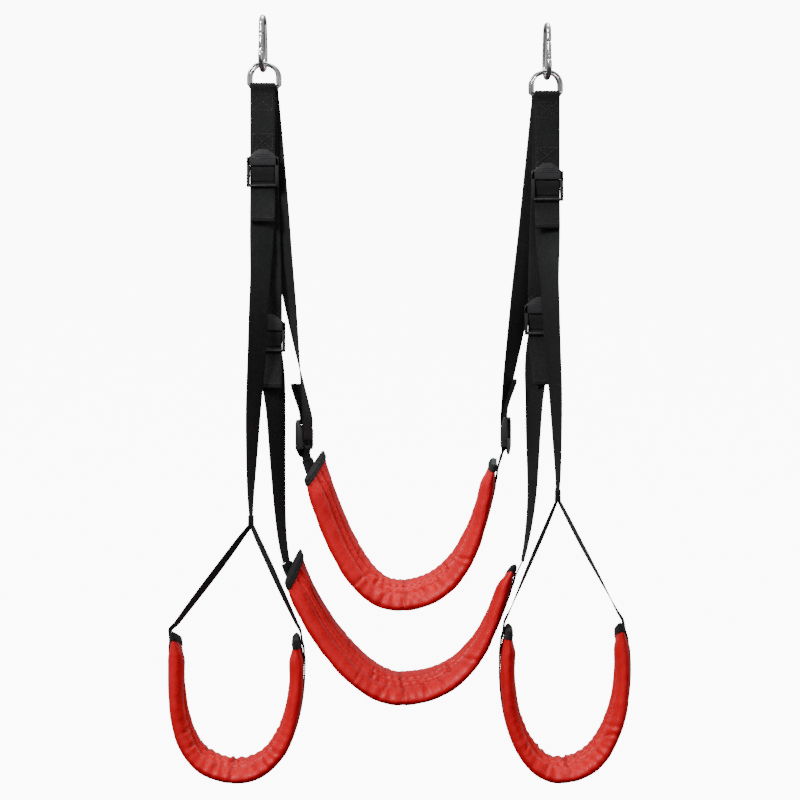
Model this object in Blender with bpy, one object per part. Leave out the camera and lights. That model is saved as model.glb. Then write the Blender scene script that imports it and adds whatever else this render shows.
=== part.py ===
"""Padded strap suspension swing: two snap hooks, six D-rings, adjustable webbing, a back band,
a seat band and two leg loops. X is across, Y is to the rear, Z is up. Lengths are in
millimetres until a mesh is made, which turns them into metres."""

import math

import bmesh
import bpy
import numpy as np
from mathutils import Matrix, Vector

MM = 0.001

# Hanging points and hooks
HOOK_SPAN = 432.0
HOOK_DROP = 12.0
HOOK_WIRE = 4.0
HOOK_LENGTH = 88.0
EYE_RADIUS = 9.0
BOW_RADIUS = 15.0
HOOK_YAW = 8.0
GATE_TOP = -23.0
GATE_FOOT = -50.0
GATE_RADIUS = 3.6
PIN_RADIUS = 1.0

# D-rings, three on each hook, one behind the other
RING_WIRE = 2.0
RING_WIDTH = 44.0
RING_HEIGHT = 34.0
RING_PITCH = 7.7
RING_STEP_IN = 2.2
RING_GAP = 0.9

# Webbing
WEB = 38.0
WEB_THICK = 1.5
GAP = 0.3
LOOP_GAP = 0.5
LINK_WEB = 24.0
LINK_GAP = 1.0

# Ladder-lock buckle, measured from the bar that the fixed strap hangs on
BAR_RADIUS = 2.2
GRIP_BAR = -14.0
GRIP_BACK = -0.5
FOOT_BAR = -41.0
FOOT_BACK = -5.2
SIDE_WIDTH = 4.4
TAB_TOP = 14.0
TAB_FRONT = -7.4
TAIL_BACK = -1.6
TAIL_START = FOOT_BAR + 5.6 - GAP

# Padded bands
BAND = 94.0
BAND_THICK = 19.0
BAND_END_THICK = 9.0
COVER = 0.8
BINDING_LENGTH = 13.0
BINDING_THICK = 1.1
CUP_GAP = 0.7
BAND_STEPS = 19

# Heights of the buckles' top bars and the ends of the free tails, left then right
LEG_BUCKLE = (-206.0, -227.0)
LEG_TAIL_END = (-302.0, -312.0)
SEAT_BUCKLE = (-456.0, -430.0)
SEAT_TAIL_END = (-554.0, -549.0)
BACK_BUCKLE = ((-151.0, -645.0), (151.0, -641.0))
BACK_TAIL_END = (-547.0, -540.0)
BACK_TWIST = (111.0, 80.0)
BACK_EASE = (1.4, 1.7)
JUNCTION = ((-232.5, -754.0), (230.5, -716.0))
# How a strap turns below its buckle: share turned early, by what share of the run, and the
# power of the rest
LEG_EASE = ((0.45, 0.3, 2.6), (0.5, 0.3, 2.0))
SEAT_EASE = (0.3, 0.3, 0.8)
SEAT_TAIL_SWING = 10.0
SEAT_BUCKLE_IN = 8.0
BRANCH_TURN = ((14.0, 9.0), (4.0, 4.0))
LEG_DEPTH = -36.0

# Each band hangs as a U: end, lean of the arm in degrees, and how far each handle reaches
BACK_U = dict(left=(-138.0, -672.0), right=(135.0, -667.0), foot=(-10.0, -867.0),
              lean=(17.5, 17.5), arm=(0.45, 0.25), base=(0.25, 0.45))
SEAT_U = dict(left=(-170.0, -825.0), right=(163.0, -830.0), foot=(-10.0, -1008.0),
              lean=(20.0, 27.5), arm=(0.45, 0.25), base=(0.20, 0.50))
LEFT_LEG_U = dict(left=(-346.0, -927.0), right=(-165.0, -930.0), foot=(-251.0, -1129.0),
                  lean=(8.0, -9.0), arm=(0.25, 0.34), base=(0.50, 0.35))
RIGHT_LEG_U = dict(left=(157.0, -916.0), right=(322.0, -914.0), foot=(232.0, -1128.0),
                   lean=(-7.0, -10.0), arm=(0.60, 0.40), base=(0.20, 0.35))
# Turn of each band about its own length (left, foot, right) and slant of its ends
BACK_TURN = (24.0, 26.0, 1.0)
BACK_SLANT = (-0.36, 0.0, 0.10)
SEAT_TURN = (23.0, 28.0, -2.0)
SEAT_SLANT = (-0.42, -0.10, -0.20)
LEFT_LEG_TURN = (2.0, 16.0, 0.0)
LEFT_LEG_SLANT = (0.16, 0.0, 0.05)
RIGHT_LEG_TURN = (0.0, 17.0, 1.0)
RIGHT_LEG_SLANT = (-0.05, -0.08, -0.16)

COLOURS = {
    "webbing": ((0.02, 0.02, 0.02, 1.0), 0.85, 0.0),
    "pad_fabric": ((0.62, 0.015, 0.02, 1.0), 0.5, 0.0),
    "binding": ((0.025, 0.025, 0.028, 1.0), 0.8, 0.0),
    "foam": ((0.75, 0.72, 0.62, 1.0), 0.95, 0.0),
    "chrome_steel": ((0.8, 0.8, 0.82, 1.0), 0.12, 1.0),
    "spring_steel": ((0.45, 0.45, 0.47, 1.0), 0.35, 1.0),
    "buckle_plastic": ((0.03, 0.03, 0.033, 1.0), 0.45, 0.0),
}


def clear_scene():
    for obj in list(bpy.data.objects):
        bpy.data.objects.remove(obj, do_unlink=True)
    for group in list(bpy.data.collections):
        bpy.data.collections.remove(group)


def new_collection(name, hidden=False):
    group = bpy.data.collections.new(name)
    group.hide_render = hidden
    bpy.context.scene.collection.children.link(group)
    return group


def new_material(name):
    colour, rough, metal = COLOURS[name]
    made = bpy.data.materials.new(name)
    made.use_nodes = True
    shader = made.node_tree.nodes["Principled BSDF"]
    shader.inputs["Base Color"].default_value = colour
    shader.inputs["Roughness"].default_value = rough
    shader.inputs["Metallic"].default_value = metal
    made.diffuse_color = colour
    return made


clear_scene()
PART = new_collection("strap_suspension_swing")
CUTTERS = new_collection("cutters", hidden=True)
MATERIALS = {name: new_material(name) for name in COLOURS}


def unit(v):
    v = np.asarray(v, float)
    return v / np.linalg.norm(v, axis=-1, keepdims=True)


def smooth(t):
    t = np.clip(t, 0.0, 1.0)
    return t * t * (3.0 - 2.0 * t)


def volume(points, faces):
    total = 0.0
    for face in faces:
        a = points[face[0]]
        for b, c in zip(face[1:-1], face[2:]):
            total += np.dot(a, np.cross(points[b], points[c]))
    return total


def add_mesh(name, points, faces, slot, group=None):
    """One mesh object from points in millimetres, faced outward."""
    points = np.asarray(points, float)
    if volume(points - points.mean(0), faces) < 0:
        faces = [tuple(reversed(face)) for face in faces]
    mesh = bpy.data.meshes.new(name)
    mesh.from_pydata([tuple(p * MM) for p in points], [], faces)
    mesh.update()
    mesh.shade_smooth()
    obj = bpy.data.objects.new(name, mesh)
    (group or PART).objects.link(obj)
    if slot:
        mesh.materials.append(MATERIALS[slot])
    if group:
        obj.display_type = "WIRE"
    return obj


def loft(name, rings, slot, closed=False, group=None, back_from=10**6):
    """A solid through a row of point rings, capped at both ends or closed on itself. Rings from
    back_from on run backward, so their quads are split along the other diagonal."""
    rings = np.asarray(rings, float)
    count, size = rings.shape[:2]
    faces = []
    for i in range(count if closed else count - 1):
        j = (i + 1) % count
        for k in range(size):
            m = (k + 1) % size
            a, b, c, d = i * size + k, i * size + m, j * size + m, j * size + k
            faces += [(a, b, d), (b, c, d)] if i >= back_from else [(a, b, c), (a, c, d)]
    if not closed:
        faces.append(tuple(reversed(range(size))))
        faces.append(tuple((count - 1) * size + k for k in range(size)))
    return add_mesh(name, rings.reshape(-1, 3), faces, slot, group)


def tangents(path, closed=False):
    path = np.asarray(path, float)
    if closed:
        return unit(np.roll(path, -1, 0) - np.roll(path, 1, 0))
    return unit(np.gradient(path, axis=0))


def sections(path, wide, profile, closed=False, square=True):
    """Rings of profile points (across, through) set along a path. wide is the across direction."""
    path = np.asarray(path, float)
    along = tangents(path, closed)
    wide = np.broadcast_to(np.asarray(wide, float), path.shape)
    if square:
        wide = unit(wide - along * (wide * along).sum(1, keepdims=True))
    through = unit(np.cross(along, wide))
    profile = np.asarray(profile, float)
    if profile.ndim == 2:
        profile = np.broadcast_to(profile, (len(path),) + profile.shape)
    return (path[:, None] + wide[:, None] * profile[..., :1]
            + through[:, None] * profile[..., 1:])


def circle(radius, sides, phase=0.0):
    turn = np.arange(sides) * 2 * math.pi / sides + phase
    return np.stack([np.cos(turn), np.sin(turn)], 1) * radius


def strip(width, thick):
    """A flat webbing section with a point on each middle, so that it can twist."""
    w, t = width / 2, thick / 2
    return np.array([(-w, -t), (0, -t), (w, -t), (w, t), (0, t), (-w, t)])


def pad_section(width, thick, points=12):
    """A soft rounded rectangle."""
    turn = (np.arange(points) + 0.5) * 2 * math.pi / points
    c, s = np.cos(turn), np.sin(turn)
    a = np.sign(c) * np.abs(c) ** 0.6 * width / 2
    b = np.sign(s) * np.abs(s) ** 0.8 * thick / 2
    return np.stack([a, b], 1)


def ribbon(name, path, wide, slot="webbing", width=WEB, thick=WEB_THICK):
    return loft(name, sections(path, wide, strip(width, thick)), slot)


def arc(centre, radius, start, end, steps):
    turn = np.radians(np.linspace(start, end, steps))
    return np.stack([centre[0] + radius * np.cos(turn), centre[1] + radius * np.sin(turn)], 1)


def place(local, frame):
    """Local (across, back, up) points moved into a frame (origin, across, back, up)."""
    origin, across, back, up = frame
    local = np.asarray(local, float)
    return (np.asarray(origin) + local[..., :1] * across + local[..., 1:2] * back
            + local[..., 2:] * up)


def shape_object(name, shell, slot, group):
    """One mesh object from a bmesh shape in millimetres."""
    mesh = bpy.data.meshes.new(name)
    bmesh.ops.scale(shell, vec=(MM, MM, MM), verts=shell.verts)
    shell.to_mesh(mesh)
    shell.free()
    obj = bpy.data.objects.new(name, mesh)
    (group or PART).objects.link(obj)
    if slot:
        mesh.materials.append(MATERIALS[slot])
    if group:
        obj.display_type = "WIRE"
    return obj


def box(name, low, high, slot=None, group=None):
    """A box between two corners."""
    shell = bmesh.new()
    middle = (Vector(low) + Vector(high)) / 2
    size = Vector(high) - Vector(low)
    bmesh.ops.create_cube(shell, size=1.0, matrix=Matrix.LocRotScale(middle, None, size))
    return shape_object(name, shell, slot, group)


def rod(name, start, end, radius, slot=None, sides=12, group=None):
    """A round bar between two points."""
    shell = bmesh.new()
    start, end = Vector(start), Vector(end)
    turn = Vector((0, 0, 1)).rotation_difference(end - start)
    bmesh.ops.create_cone(shell, cap_ends=True, segments=sides, radius1=radius, radius2=radius,
                          depth=(end - start).length,
                          matrix=Matrix.LocRotScale((start + end) / 2, turn, None))
    return shape_object(name, shell, slot, group)


def block_along(name, start, end, across, width, depth, group=None, slot=None):
    """A square-edged bar between two points, its width along the across direction."""
    shell = bmesh.new()
    start, end = Vector(start), Vector(end)
    run = (end - start).normalized()
    wide = Vector(across)
    wide = (wide - run * wide.dot(run)).normalized()
    turn = Matrix((wide, run.cross(wide), run)).transposed()
    size = Vector((width, depth, (end - start).length))
    bmesh.ops.create_cube(shell, size=1.0,
                          matrix=Matrix.LocRotScale((start + end) / 2, turn.to_3x3(), size))
    return shape_object(name, shell, slot, group)


def wire(name, path, radius, slot, sides=8, closed=False):
    """A round bar or wire along a path: a curve with a bevel and filled ends."""
    path = np.asarray(path, float) * MM
    curve = bpy.data.curves.new(name, "CURVE")
    curve.dimensions = "3D"
    curve.bevel_depth = radius * MM
    curve.bevel_resolution = (sides - 4) // 2
    curve.use_fill_caps = not closed
    spline = curve.splines.new("POLY")
    spline.points.add(len(path) - 1)
    spline.points.foreach_set("co", np.c_[path, np.ones(len(path))].ravel())
    spline.use_cyclic_u = closed
    obj = bpy.data.objects.new(name, curve)
    curve.materials.append(MATERIALS[slot])
    PART.objects.link(obj)
    return obj


def plate(name, outline, low, high, group):
    """A flat shape cut from sheet: an outline in (x, z), extruded from low to high in y."""
    curve = bpy.data.curves.new(name, "CURVE")
    curve.dimensions = "2D"
    curve.fill_mode = "BOTH"
    curve.extrude = (high - low) / 2 * MM
    spline = curve.splines.new("POLY")
    spline.points.add(len(outline) - 1)
    flat = np.array([(x * MM, z * MM, 0.0, 1.0) for x, z in outline])
    spline.points.foreach_set("co", flat.ravel())
    spline.use_cyclic_u = True
    obj = bpy.data.objects.new(name, curve)
    obj.location = (0.0, (low + high) / 2 * MM, 0.0)
    obj.rotation_euler = (math.pi / 2, 0.0, 0.0)
    group.objects.link(obj)
    return as_mesh(obj)


def as_mesh(obj):
    """A curve object turned into one closed mesh, so that it can be cut or joined."""
    bpy.context.view_layer.update()
    graph = bpy.context.evaluated_depsgraph_get()
    mesh = bpy.data.meshes.new_from_object(obj.evaluated_get(graph))
    shell = bmesh.new()
    shell.from_mesh(mesh)
    bmesh.ops.remove_doubles(shell, verts=shell.verts, dist=1e-6)
    bmesh.ops.recalc_face_normals(shell, faces=shell.faces)
    shell.to_mesh(mesh)
    shell.free()
    made = bpy.data.objects.new(obj.name, mesh)
    made.matrix_world = obj.matrix_world
    made.display_type = obj.display_type
    name = obj.name
    for group in obj.users_collection:
        group.objects.link(made)
    bpy.data.objects.remove(obj, do_unlink=True)
    made.name = name
    return made


def cut(target, cutter, operation="DIFFERENCE"):
    """Applies a Boolean and leaves the helper out of the scene."""
    change = target.modifiers.new(operation.title(), "BOOLEAN")
    change.operation = operation
    change.solver = "EXACT"
    change.object = cutter
    graph = bpy.context.evaluated_depsgraph_get()
    mesh = bpy.data.meshes.new_from_object(target.evaluated_get(graph))
    target.modifiers.remove(change)
    old = target.data
    mesh.name = target.name
    target.data = mesh
    bpy.data.meshes.remove(old)
    bpy.data.objects.remove(cutter, do_unlink=True)


# ---------------------------------------------------------------- hooks
def side_sign(side):
    return -1.0 if side == "left" else 1.0


def hook_frame(side):
    """Origin on the eye's bearing line, across, back (toward the spine), up."""
    sign = side_sign(side)
    yaw = math.radians(HOOK_YAW) * sign
    across = np.array([math.cos(yaw), math.sin(yaw), 0.0])
    back = np.array([-math.sin(yaw), math.cos(yaw), 0.0])
    origin = np.array([sign * HOOK_SPAN / 2, 0.0, -sign * HOOK_DROP / 2])
    return origin, across, back, np.array([0.0, 0.0, 1.0])


BOW_CENTRE = 4 * HOOK_WIRE - HOOK_LENGTH + BOW_RADIUS


def front_line(z):
    """Distance in front of the hook's middle of the straight line that the gate follows."""
    eye, bow = EYE_RADIUS + HOOK_WIRE, BOW_RADIUS + HOOK_WIRE
    share = (z + EYE_RADIUS) / (BOW_CENTRE + EYE_RADIUS)
    return -(eye + (bow - eye) * share)


def hook(side):
    frame = hook_frame(side)
    eye, bow = EYE_RADIUS + HOOK_WIRE, BOW_RADIUS + HOOK_WIRE
    flat = [(front_line(GATE_TOP + 1.0), GATE_TOP + 1.0)]
    flat += list(arc((0, -EYE_RADIUS), eye, 180, 0, 9))
    flat += list(arc((0, BOW_CENTRE), bow, 0, -180, 13))
    flat.append((front_line(GATE_FOOT - 1.0), GATE_FOOT - 1.0))
    flat = np.array(flat)
    path = place(np.c_[np.zeros(len(flat)), flat], frame)
    body = as_mesh(wire(side + "_hook", path, HOOK_WIRE, "chrome_steel", sides=10))
    for end, reach in ((GATE_TOP + 2.5, GATE_TOP - 4.5), (GATE_FOOT - 2.5, GATE_FOOT + 5.0)):
        path = place([(0, front_line(end), end), (0, front_line(reach), reach)], frame)
        cut(body, block_along("tongue", path[0], path[1], frame[1], 2.4, 4.6, CUTTERS), "UNION")
    pivot = GATE_FOOT + 2.5
    ends = place([(-6, front_line(pivot), pivot), (6, front_line(pivot), pivot)], frame)
    cut(body, rod("pivot_hole", ends[0], ends[1], PIN_RADIUS + GAP / 2, group=CUTTERS))
    pin = place([(-GATE_RADIUS + 0.5, front_line(pivot), pivot),
                 (GATE_RADIUS - 0.5, front_line(pivot), pivot)], frame)
    rod(side + "_gate_pin", pin[0], pin[1], PIN_RADIUS, "spring_steel", 8)
    gate(side, frame, pivot)


def gate(side, frame, pivot):
    """A round bar slotted at both ends, bored above the foot slot for its spring."""
    top, foot = GATE_TOP - 0.6, GATE_FOOT + 0.6
    path = place([(0, front_line(foot), foot), (0, front_line(top), top)], frame)
    bar = rod(side + "_gate", path[0], path[1], GATE_RADIUS, "chrome_steel")
    slots = ((foot - 1, pivot + 4.0), (GATE_TOP - 5.2, top + 1))
    for low, high in slots:
        path = place([(0, front_line(low), low), (0, front_line(high), high)], frame)
        cut(bar, block_along("slot", path[0], path[1], frame[1], 3.2, 12.0, CUTTERS))
    low, high = pivot + 3.0, pivot + 15.0
    path = place([(0, front_line(low), low), (0, front_line(high), high)], frame)
    cut(bar, rod("bore", path[0], path[1], 2.2, sides=10, group=CUTTERS))
    ends = place([(-6, front_line(pivot), pivot), (6, front_line(pivot), pivot)], frame)
    cut(bar, rod("hole", ends[0], ends[1], PIN_RADIUS + GAP / 2, group=CUTTERS, sides=8))
    turns, per_turn = 4, 9
    count = turns * per_turn + 1
    share = np.linspace(0, 1, count)
    z = pivot + 5.0 + share * 9.0
    angle = share * turns * 2 * math.pi
    coil = np.stack([1.45 * np.cos(angle), front_line(z) + 1.45 * np.sin(angle), z], 1)
    path = place(coil, frame)
    wire(side + "_gate_spring", path, 0.35, "spring_steel", sides=6)


def bow_depth(back):
    """Height of a ring's top wire under the eye's bearing when it hangs off the bow's middle."""
    reach = BOW_RADIUS - RING_WIRE - RING_GAP
    return BOW_CENTRE - math.sqrt(reach * reach - back * back)


def ring_bar(side, layer):
    """Centre of a D-ring's straight bar. Layer is -1 front, 0 middle, 1 rear."""
    origin = hook_frame(side)[0]
    x = origin[0] - side_sign(side) * RING_STEP_IN * (layer + 1)
    y = layer * RING_PITCH
    return np.array([x, y, origin[2] + bow_depth(y) - RING_HEIGHT])


def ring(side, layer, name):
    bar = ring_bar(side, layer)
    half, corner = RING_WIDTH / 2, 3.0
    shoulder = RING_HEIGHT - half
    flat = list(arc((-half + corner, corner), corner, 270, 180, 4))
    flat += list(arc((0, shoulder), half, 180, 0, 13))
    flat += list(arc((half - corner, corner), corner, 0, -90, 4))
    flat = np.array(flat)
    path = bar + np.c_[flat[:, 0], np.zeros(len(flat)), flat[:, 1]]
    wire(name, path, RING_WIRE, "chrome_steel", closed=True)


# ---------------------------------------------------------------- buckles
def level_frame(origin, twist=0.0, flip=False):
    """A buckle's frame. Twist turns it about the vertical; flip hangs it tab down."""
    a = math.radians(twist)
    across = np.array([math.cos(a), math.sin(a), 0.0])
    back = np.array([-math.sin(a), math.cos(a), 0.0])
    up = np.array([0.0, 0.0, 1.0])
    if flip:
        across, up = -across, -up
    return np.asarray(origin, float), across, back, up


def buckle(name, frame):
    """Two sides, three round bars and a lift tab in front of the top bar."""
    half = WEB / 2 + 0.7
    outer = half + SIDE_WIDTH
    body = box(name, (half, TAB_FRONT, FOOT_BAR - BAR_RADIUS), (outer, 2.6, BAR_RADIUS),
               "buckle_plastic")
    parts = [box("side", (-outer, TAB_FRONT, FOOT_BAR - BAR_RADIUS), (-half, 2.6, BAR_RADIUS),
                 group=CUTTERS)]
    for back, up in ((0, 0), (GRIP_BACK, GRIP_BAR), (FOOT_BACK, FOOT_BAR)):
        parts.append(rod("bar", (-half - 1, back, up), (half + 1, back, up), BAR_RADIUS,
                         sides=10, group=CUTTERS))
    edge = [(-outer, -5.0), (outer, -5.0), (outer, 3.0), (outer - 3.5, 9.0), (outer - 8, 12.6),
            (outer - 13, TAB_TOP), (-outer + 13, TAB_TOP), (-outer + 8, 12.6),
            (-outer + 3.5, 9.0), (-outer, 3.0)]
    parts.append(plate("tab", edge, TAB_FRONT, TAB_FRONT + 2.2, CUTTERS))
    # The first side stands alone, so the tab joins it before the bars do.
    for part in reversed(parts):
        cut(body, part, "UNION")
    turn = Matrix(np.stack(frame[1:], 1).tolist()).to_4x4()
    body.data.transform(Matrix.Translation(Vector(frame[0]) * MM) @ turn)
    return body


def turn_path():
    """Webbing round the grip bar, local (back, up): from behind the foot bar, over, and down."""
    radius = BAR_RADIUS + LOOP_GAP - 0.1 + WEB_THICK / 2
    front = [(TAIL_BACK, FOOT_BAR + 5.6), (TAIL_BACK - 0.9, GRIP_BAR - 13.0),
             (GRIP_BACK - radius, GRIP_BAR - 5.0)]
    over = arc((GRIP_BACK, GRIP_BAR), radius, 180, 0, 7)
    down = [(GRIP_BACK + radius, GRIP_BAR - 8.0), (GRIP_BACK + radius, FOOT_BAR - 4.0)]
    return np.array(front + list(over) + down)


def loop_strap(name, top, foot, foot_frame, twist=0.0):
    """A sewn loop of webbing between a ring's bar and a buckle's bar, its two layers together."""
    outer_top = RING_WIRE + LOOP_GAP + WEB_THICK / 2
    outer_foot = BAR_RADIUS + LOOP_GAP - 0.1 + WEB_THICK / 2
    half = WEB_THICK / 2 + 0.25
    length = top[2] - foot[2]
    flat = list(arc((0, 0), outer_top, -12, 192, 9))
    flat += [(-half, -7.0), (-half, -length * 0.35), (-half, -length * 0.65), (-half, -length + 7.0)]
    flat += list(arc((0, -length), outer_foot, 168, 372, 9))
    flat += [(half, -length + 7.0), (half, -length * 0.65), (half, -length * 0.35), (half, -7.0)]
    flat = np.array(flat)
    share = smooth((-flat[:, 1] - 8) / max(length - 16, 1))
    middle = np.outer(1 - share, top) + np.outer(share, foot)
    turn = np.radians(twist) * share
    back = np.stack([-np.sin(turn), np.cos(turn), np.zeros(len(turn))], 1)
    path = middle.copy()
    path[:, 2] = top[2] + flat[:, 1]
    path += back * flat[:, :1]
    wide = np.stack([np.cos(turn), np.sin(turn), np.zeros(len(turn))], 1)
    loft(name, sections(path, wide, strip(WEB, WEB_THICK)[[0, 2, 3, 5]], closed=True), "webbing",
         closed=True)


def standing_part(name, frame, end, end_wide, end_lead, ease, forward=1.0, veer=0.0, steps=15):
    """Webbing from round the grip bar to a sewn end, turning from the buckle's width to the end's."""
    turn = turn_path()
    start = place(np.c_[np.zeros(len(turn)), turn], frame)
    first, lead = start[-1], unit(frame[1] * veer - frame[3])
    end = np.asarray(end, float)
    length = np.linalg.norm(end - first)
    handles = np.array([first, first + lead * length * 0.35,
                        end - np.asarray(end_lead) * length * 0.35, end])
    t = np.linspace(0, 1, steps)[1:, None]
    run = ((1 - t) ** 3 * handles[0] + 3 * (1 - t) ** 2 * t * handles[1]
           + 3 * (1 - t) * t * t * handles[2] + t ** 3 * handles[3])
    run[:, 1] = first[1] + (end[1] - first[1]) * smooth(t[:, 0] / forward)
    early, by, power = ease
    share = early * smooth(t / by) + (1 - early) * t ** power
    turn_end = np.arctan2(end_wide[1], end_wide[0])
    turn_start = np.arctan2(frame[1][1], frame[1][0])
    angle = turn_start + (turn_end - turn_start) * share[:, 0]
    wide = np.stack([np.cos(angle), np.sin(angle), np.zeros(len(angle))], 1)
    wide = np.concatenate([np.repeat([frame[1]], len(start), 0), wide])
    path = np.concatenate([start, run])
    ribbon(name, path, wide)


def tail(name, frame, length, swing=0.0, lean=0.0, twist=0.0):
    """The free end: down behind the foot bar, then hanging, with a folded hem."""
    down = np.linspace(0, 1, 7)[:, None]
    z = TAIL_START - down * length
    back = np.full_like(z, TAIL_BACK) - swing * smooth((down - 0.15) / 0.85)
    side = lean * smooth((down - 0.1) / 0.9)
    path = place(np.c_[side, back, z], frame)
    turn = np.radians(twist) * smooth((down - 0.1) / 0.9)
    wide = frame[1] * np.cos(turn) + frame[2] * np.sin(turn)
    thick = np.where(down[:, 0] > 0.86, WEB_THICK * 2, WEB_THICK)
    shapes = np.stack([strip(WEB, t) for t in thick])
    loft(name, sections(path, wide, shapes), "webbing")


# ---------------------------------------------------------------- padded bands
def u_path(u, steps):
    """Centre line (x, z) of a band, from its left end round to its right end."""
    foot = np.array(u["foot"])
    halves = []
    for k, side in enumerate(("left", "right")):
        start = np.array(u[side])
        sign = 1.0 if side == "left" else -1.0
        lean = math.radians(u["lean"][k])
        reach = np.linalg.norm(foot - start)
        arm = start + reach * u["arm"][k] * np.array([sign * math.sin(lean), -math.cos(lean)])
        base = foot - np.array([sign * reach * u["base"][k], 0.0])
        t = np.linspace(0, 1, 60)[:, None]
        halves.append((1 - t) ** 3 * start + 3 * (1 - t) ** 2 * t * arm
                      + 3 * (1 - t) * t * t * base + t ** 3 * foot)
    line = np.concatenate([halves[0], halves[1][::-1][1:]])
    run = np.r_[0, np.cumsum(np.linalg.norm(np.diff(line, axis=0), axis=1))]
    at = np.linspace(0, run[-1], steps)
    return np.stack([np.interp(at, run, line[:, k]) for k in (0, 1)], 1), run[-1]


def blend3(values, share):
    """Left, foot and right values eased along a band."""
    left, foot, right = values
    first = left + (foot - left) * smooth(share * 2)
    second = foot + (right - foot) * smooth(share * 2 - 1)
    return np.where(share < 0.5, first, second)


def band_frames(u, turn, slant, depth, steps, offset=0.0, ends=(0.0, 0.0)):
    """Centres, across directions and outward normals along a band, shifted outward by offset.
    ends lengthens the run past each end along its arm."""
    flat, length = u_path(u, steps)
    if ends[0]:
        lead = unit(flat[0] - flat[1])
        flat = np.vstack([flat[0] + lead * ends[0], flat[0] + lead * ends[0] / 2, flat])
    if ends[1]:
        lead = unit(flat[-1] - flat[-2])
        flat = np.vstack([flat, flat[-1] + lead * ends[1] / 2, flat[-1] + lead * ends[1]])
    centre = np.c_[flat[:, 0], np.full(len(flat), depth), flat[:, 1]]
    along = tangents(centre)
    inward = np.stack([-along[:, 2], np.zeros(len(along)), along[:, 0]], 1)
    run = np.r_[0, np.cumsum(np.linalg.norm(np.diff(flat, axis=0), axis=1))]
    share = np.clip((run - ends[0]) / length, 0, 1)
    angle = np.radians(blend3(turn, share))[:, None]
    skew = blend3(slant, share)[:, None]
    wide = unit(np.array([0, 1.0, 0]) * np.cos(angle) + inward * np.sin(angle) + along * skew)
    normal = unit(np.cross(along, wide))
    normal = np.where((normal * inward).sum(1, keepdims=True) > 0, -normal, normal)
    return centre + normal * offset, wide, normal, share


def pad_thick(share, length):
    """Full in the run and flattened where the ends are bound."""
    edge = np.minimum(share, 1 - share) * length
    return BAND_END_THICK + (BAND_THICK - BAND_END_THICK) * smooth((edge - 4) / 34)


def pad_rings(frames, length, grow):
    centre, wide, normal, share = frames
    thick = pad_thick(share, length)
    shapes = np.stack([pad_section(BAND + 2 * grow, t + 2 * grow) for t in thick])
    return centre[:, None] + wide[:, None] * shapes[..., :1] + normal[:, None] * shapes[..., 1:]


def band(name, u, turn, slant, depth):
    """Cover, foam and two bindings of one padded band."""
    steps = BAND_STEPS
    frames = band_frames(u, turn, slant, depth, steps)
    length = u_path(u, steps)[1]
    outer, inner = pad_rings(frames, length, 0.0), pad_rings(frames, length, -COVER)
    loft(name + "_pad_cover", np.concatenate([outer, inner[::-1]]), "pad_fabric", closed=True,
         back_from=steps)
    core = pad_rings(frames, length, -COVER - GAP - 0.2)
    loft(name + "_pad_foam", core, "foam")
    for side, k, sign in (("left", 0, 1), ("right", -1, -1)):
        lead = unit(frames[0][k] - frames[0][k + sign])
        near = 0.0 if k == 0 else steps - 1.0
        far = near + sign * BINDING_LENGTH / length * (steps - 1)
        inner = [ring_at(frames, length, far, CUP_GAP),
                 ring_at(frames, length, near, CUP_GAP) + lead * CUP_GAP]
        outer = [ring_at(frames, length, far, CUP_GAP + BINDING_THICK),
                 ring_at(frames, length, near, CUP_GAP + BINDING_THICK)
                 + lead * (CUP_GAP + BINDING_THICK)]
        cup_solid(name + "_" + side + "_binding", outer, inner)


def ring_at(frames, length, index, grow):
    """A pad section part way between two stations."""
    low = int(np.clip(np.floor(index), 0, len(frames[3]) - 2))
    part = index - low
    rings = pad_rings([f[low:low + 2] for f in frames], length, grow)
    return rings[0] * (1 - part) + rings[1] * part


def cup_solid(name, outer, inner):
    """A cup: outer wall to its closed end, inner wall back to the mouth."""
    rows = np.concatenate([np.asarray(inner)[::-1], np.asarray(outer)])
    count, size = rows.shape[:2]
    faces = []
    for i in range(count - 1):
        for k in range(size):
            m = (k + 1) % size
            faces.append((i * size + k, i * size + m, (i + 1) * size + m))
            faces.append((i * size + k, (i + 1) * size + m, (i + 1) * size + k))
    faces.append(tuple(reversed(range(size))))
    faces.append(tuple((count - 1) * size + k for k in range(size)))
    return add_mesh(name, rows.reshape(-1, 3), faces, "binding")


def carrier_offset(share, length):
    """How far outside a band's middle its webbing lies: on the cover, or on the binding."""
    edge = np.minimum(share, 1 - share) * length
    bound = edge < BINDING_LENGTH + 8
    rise = np.where(bound, CUP_GAP + BINDING_THICK + 0.8, 0.4)
    return pad_thick(share, length) / 2 + GAP + WEB_THICK / 2 + rise


def carrier(name, u, turn, slant, depth, ends):
    """Webbing sewn along the outside of a band, reaching past its ends."""
    steps = BAND_STEPS
    length = u_path(u, steps)[1]
    centre, wide, normal, share = band_frames(u, turn, slant, depth, steps, 0.0, ends)
    path = centre + normal * carrier_offset(share, length)[:, None]
    ribbon(name, path, wide)
    return path, wide


# ---------------------------------------------------------------- build
RINGS = (("leg", -1), ("seat", 0), ("back", 1))
for which in ("left", "right"):
    hook(which)
    for use, layer in RINGS:
        ring(which, layer, which + "_" + use + "_ring")

band("back", BACK_U, BACK_TURN, BACK_SLANT, RING_PITCH)
band("seat", SEAT_U, SEAT_TURN, SEAT_SLANT, 0.0)
band("left_leg", LEFT_LEG_U, LEFT_LEG_TURN, LEFT_LEG_SLANT, LEG_DEPTH)
band("right_leg", RIGHT_LEG_U, RIGHT_LEG_TURN, RIGHT_LEG_SLANT, LEG_DEPTH)

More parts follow.
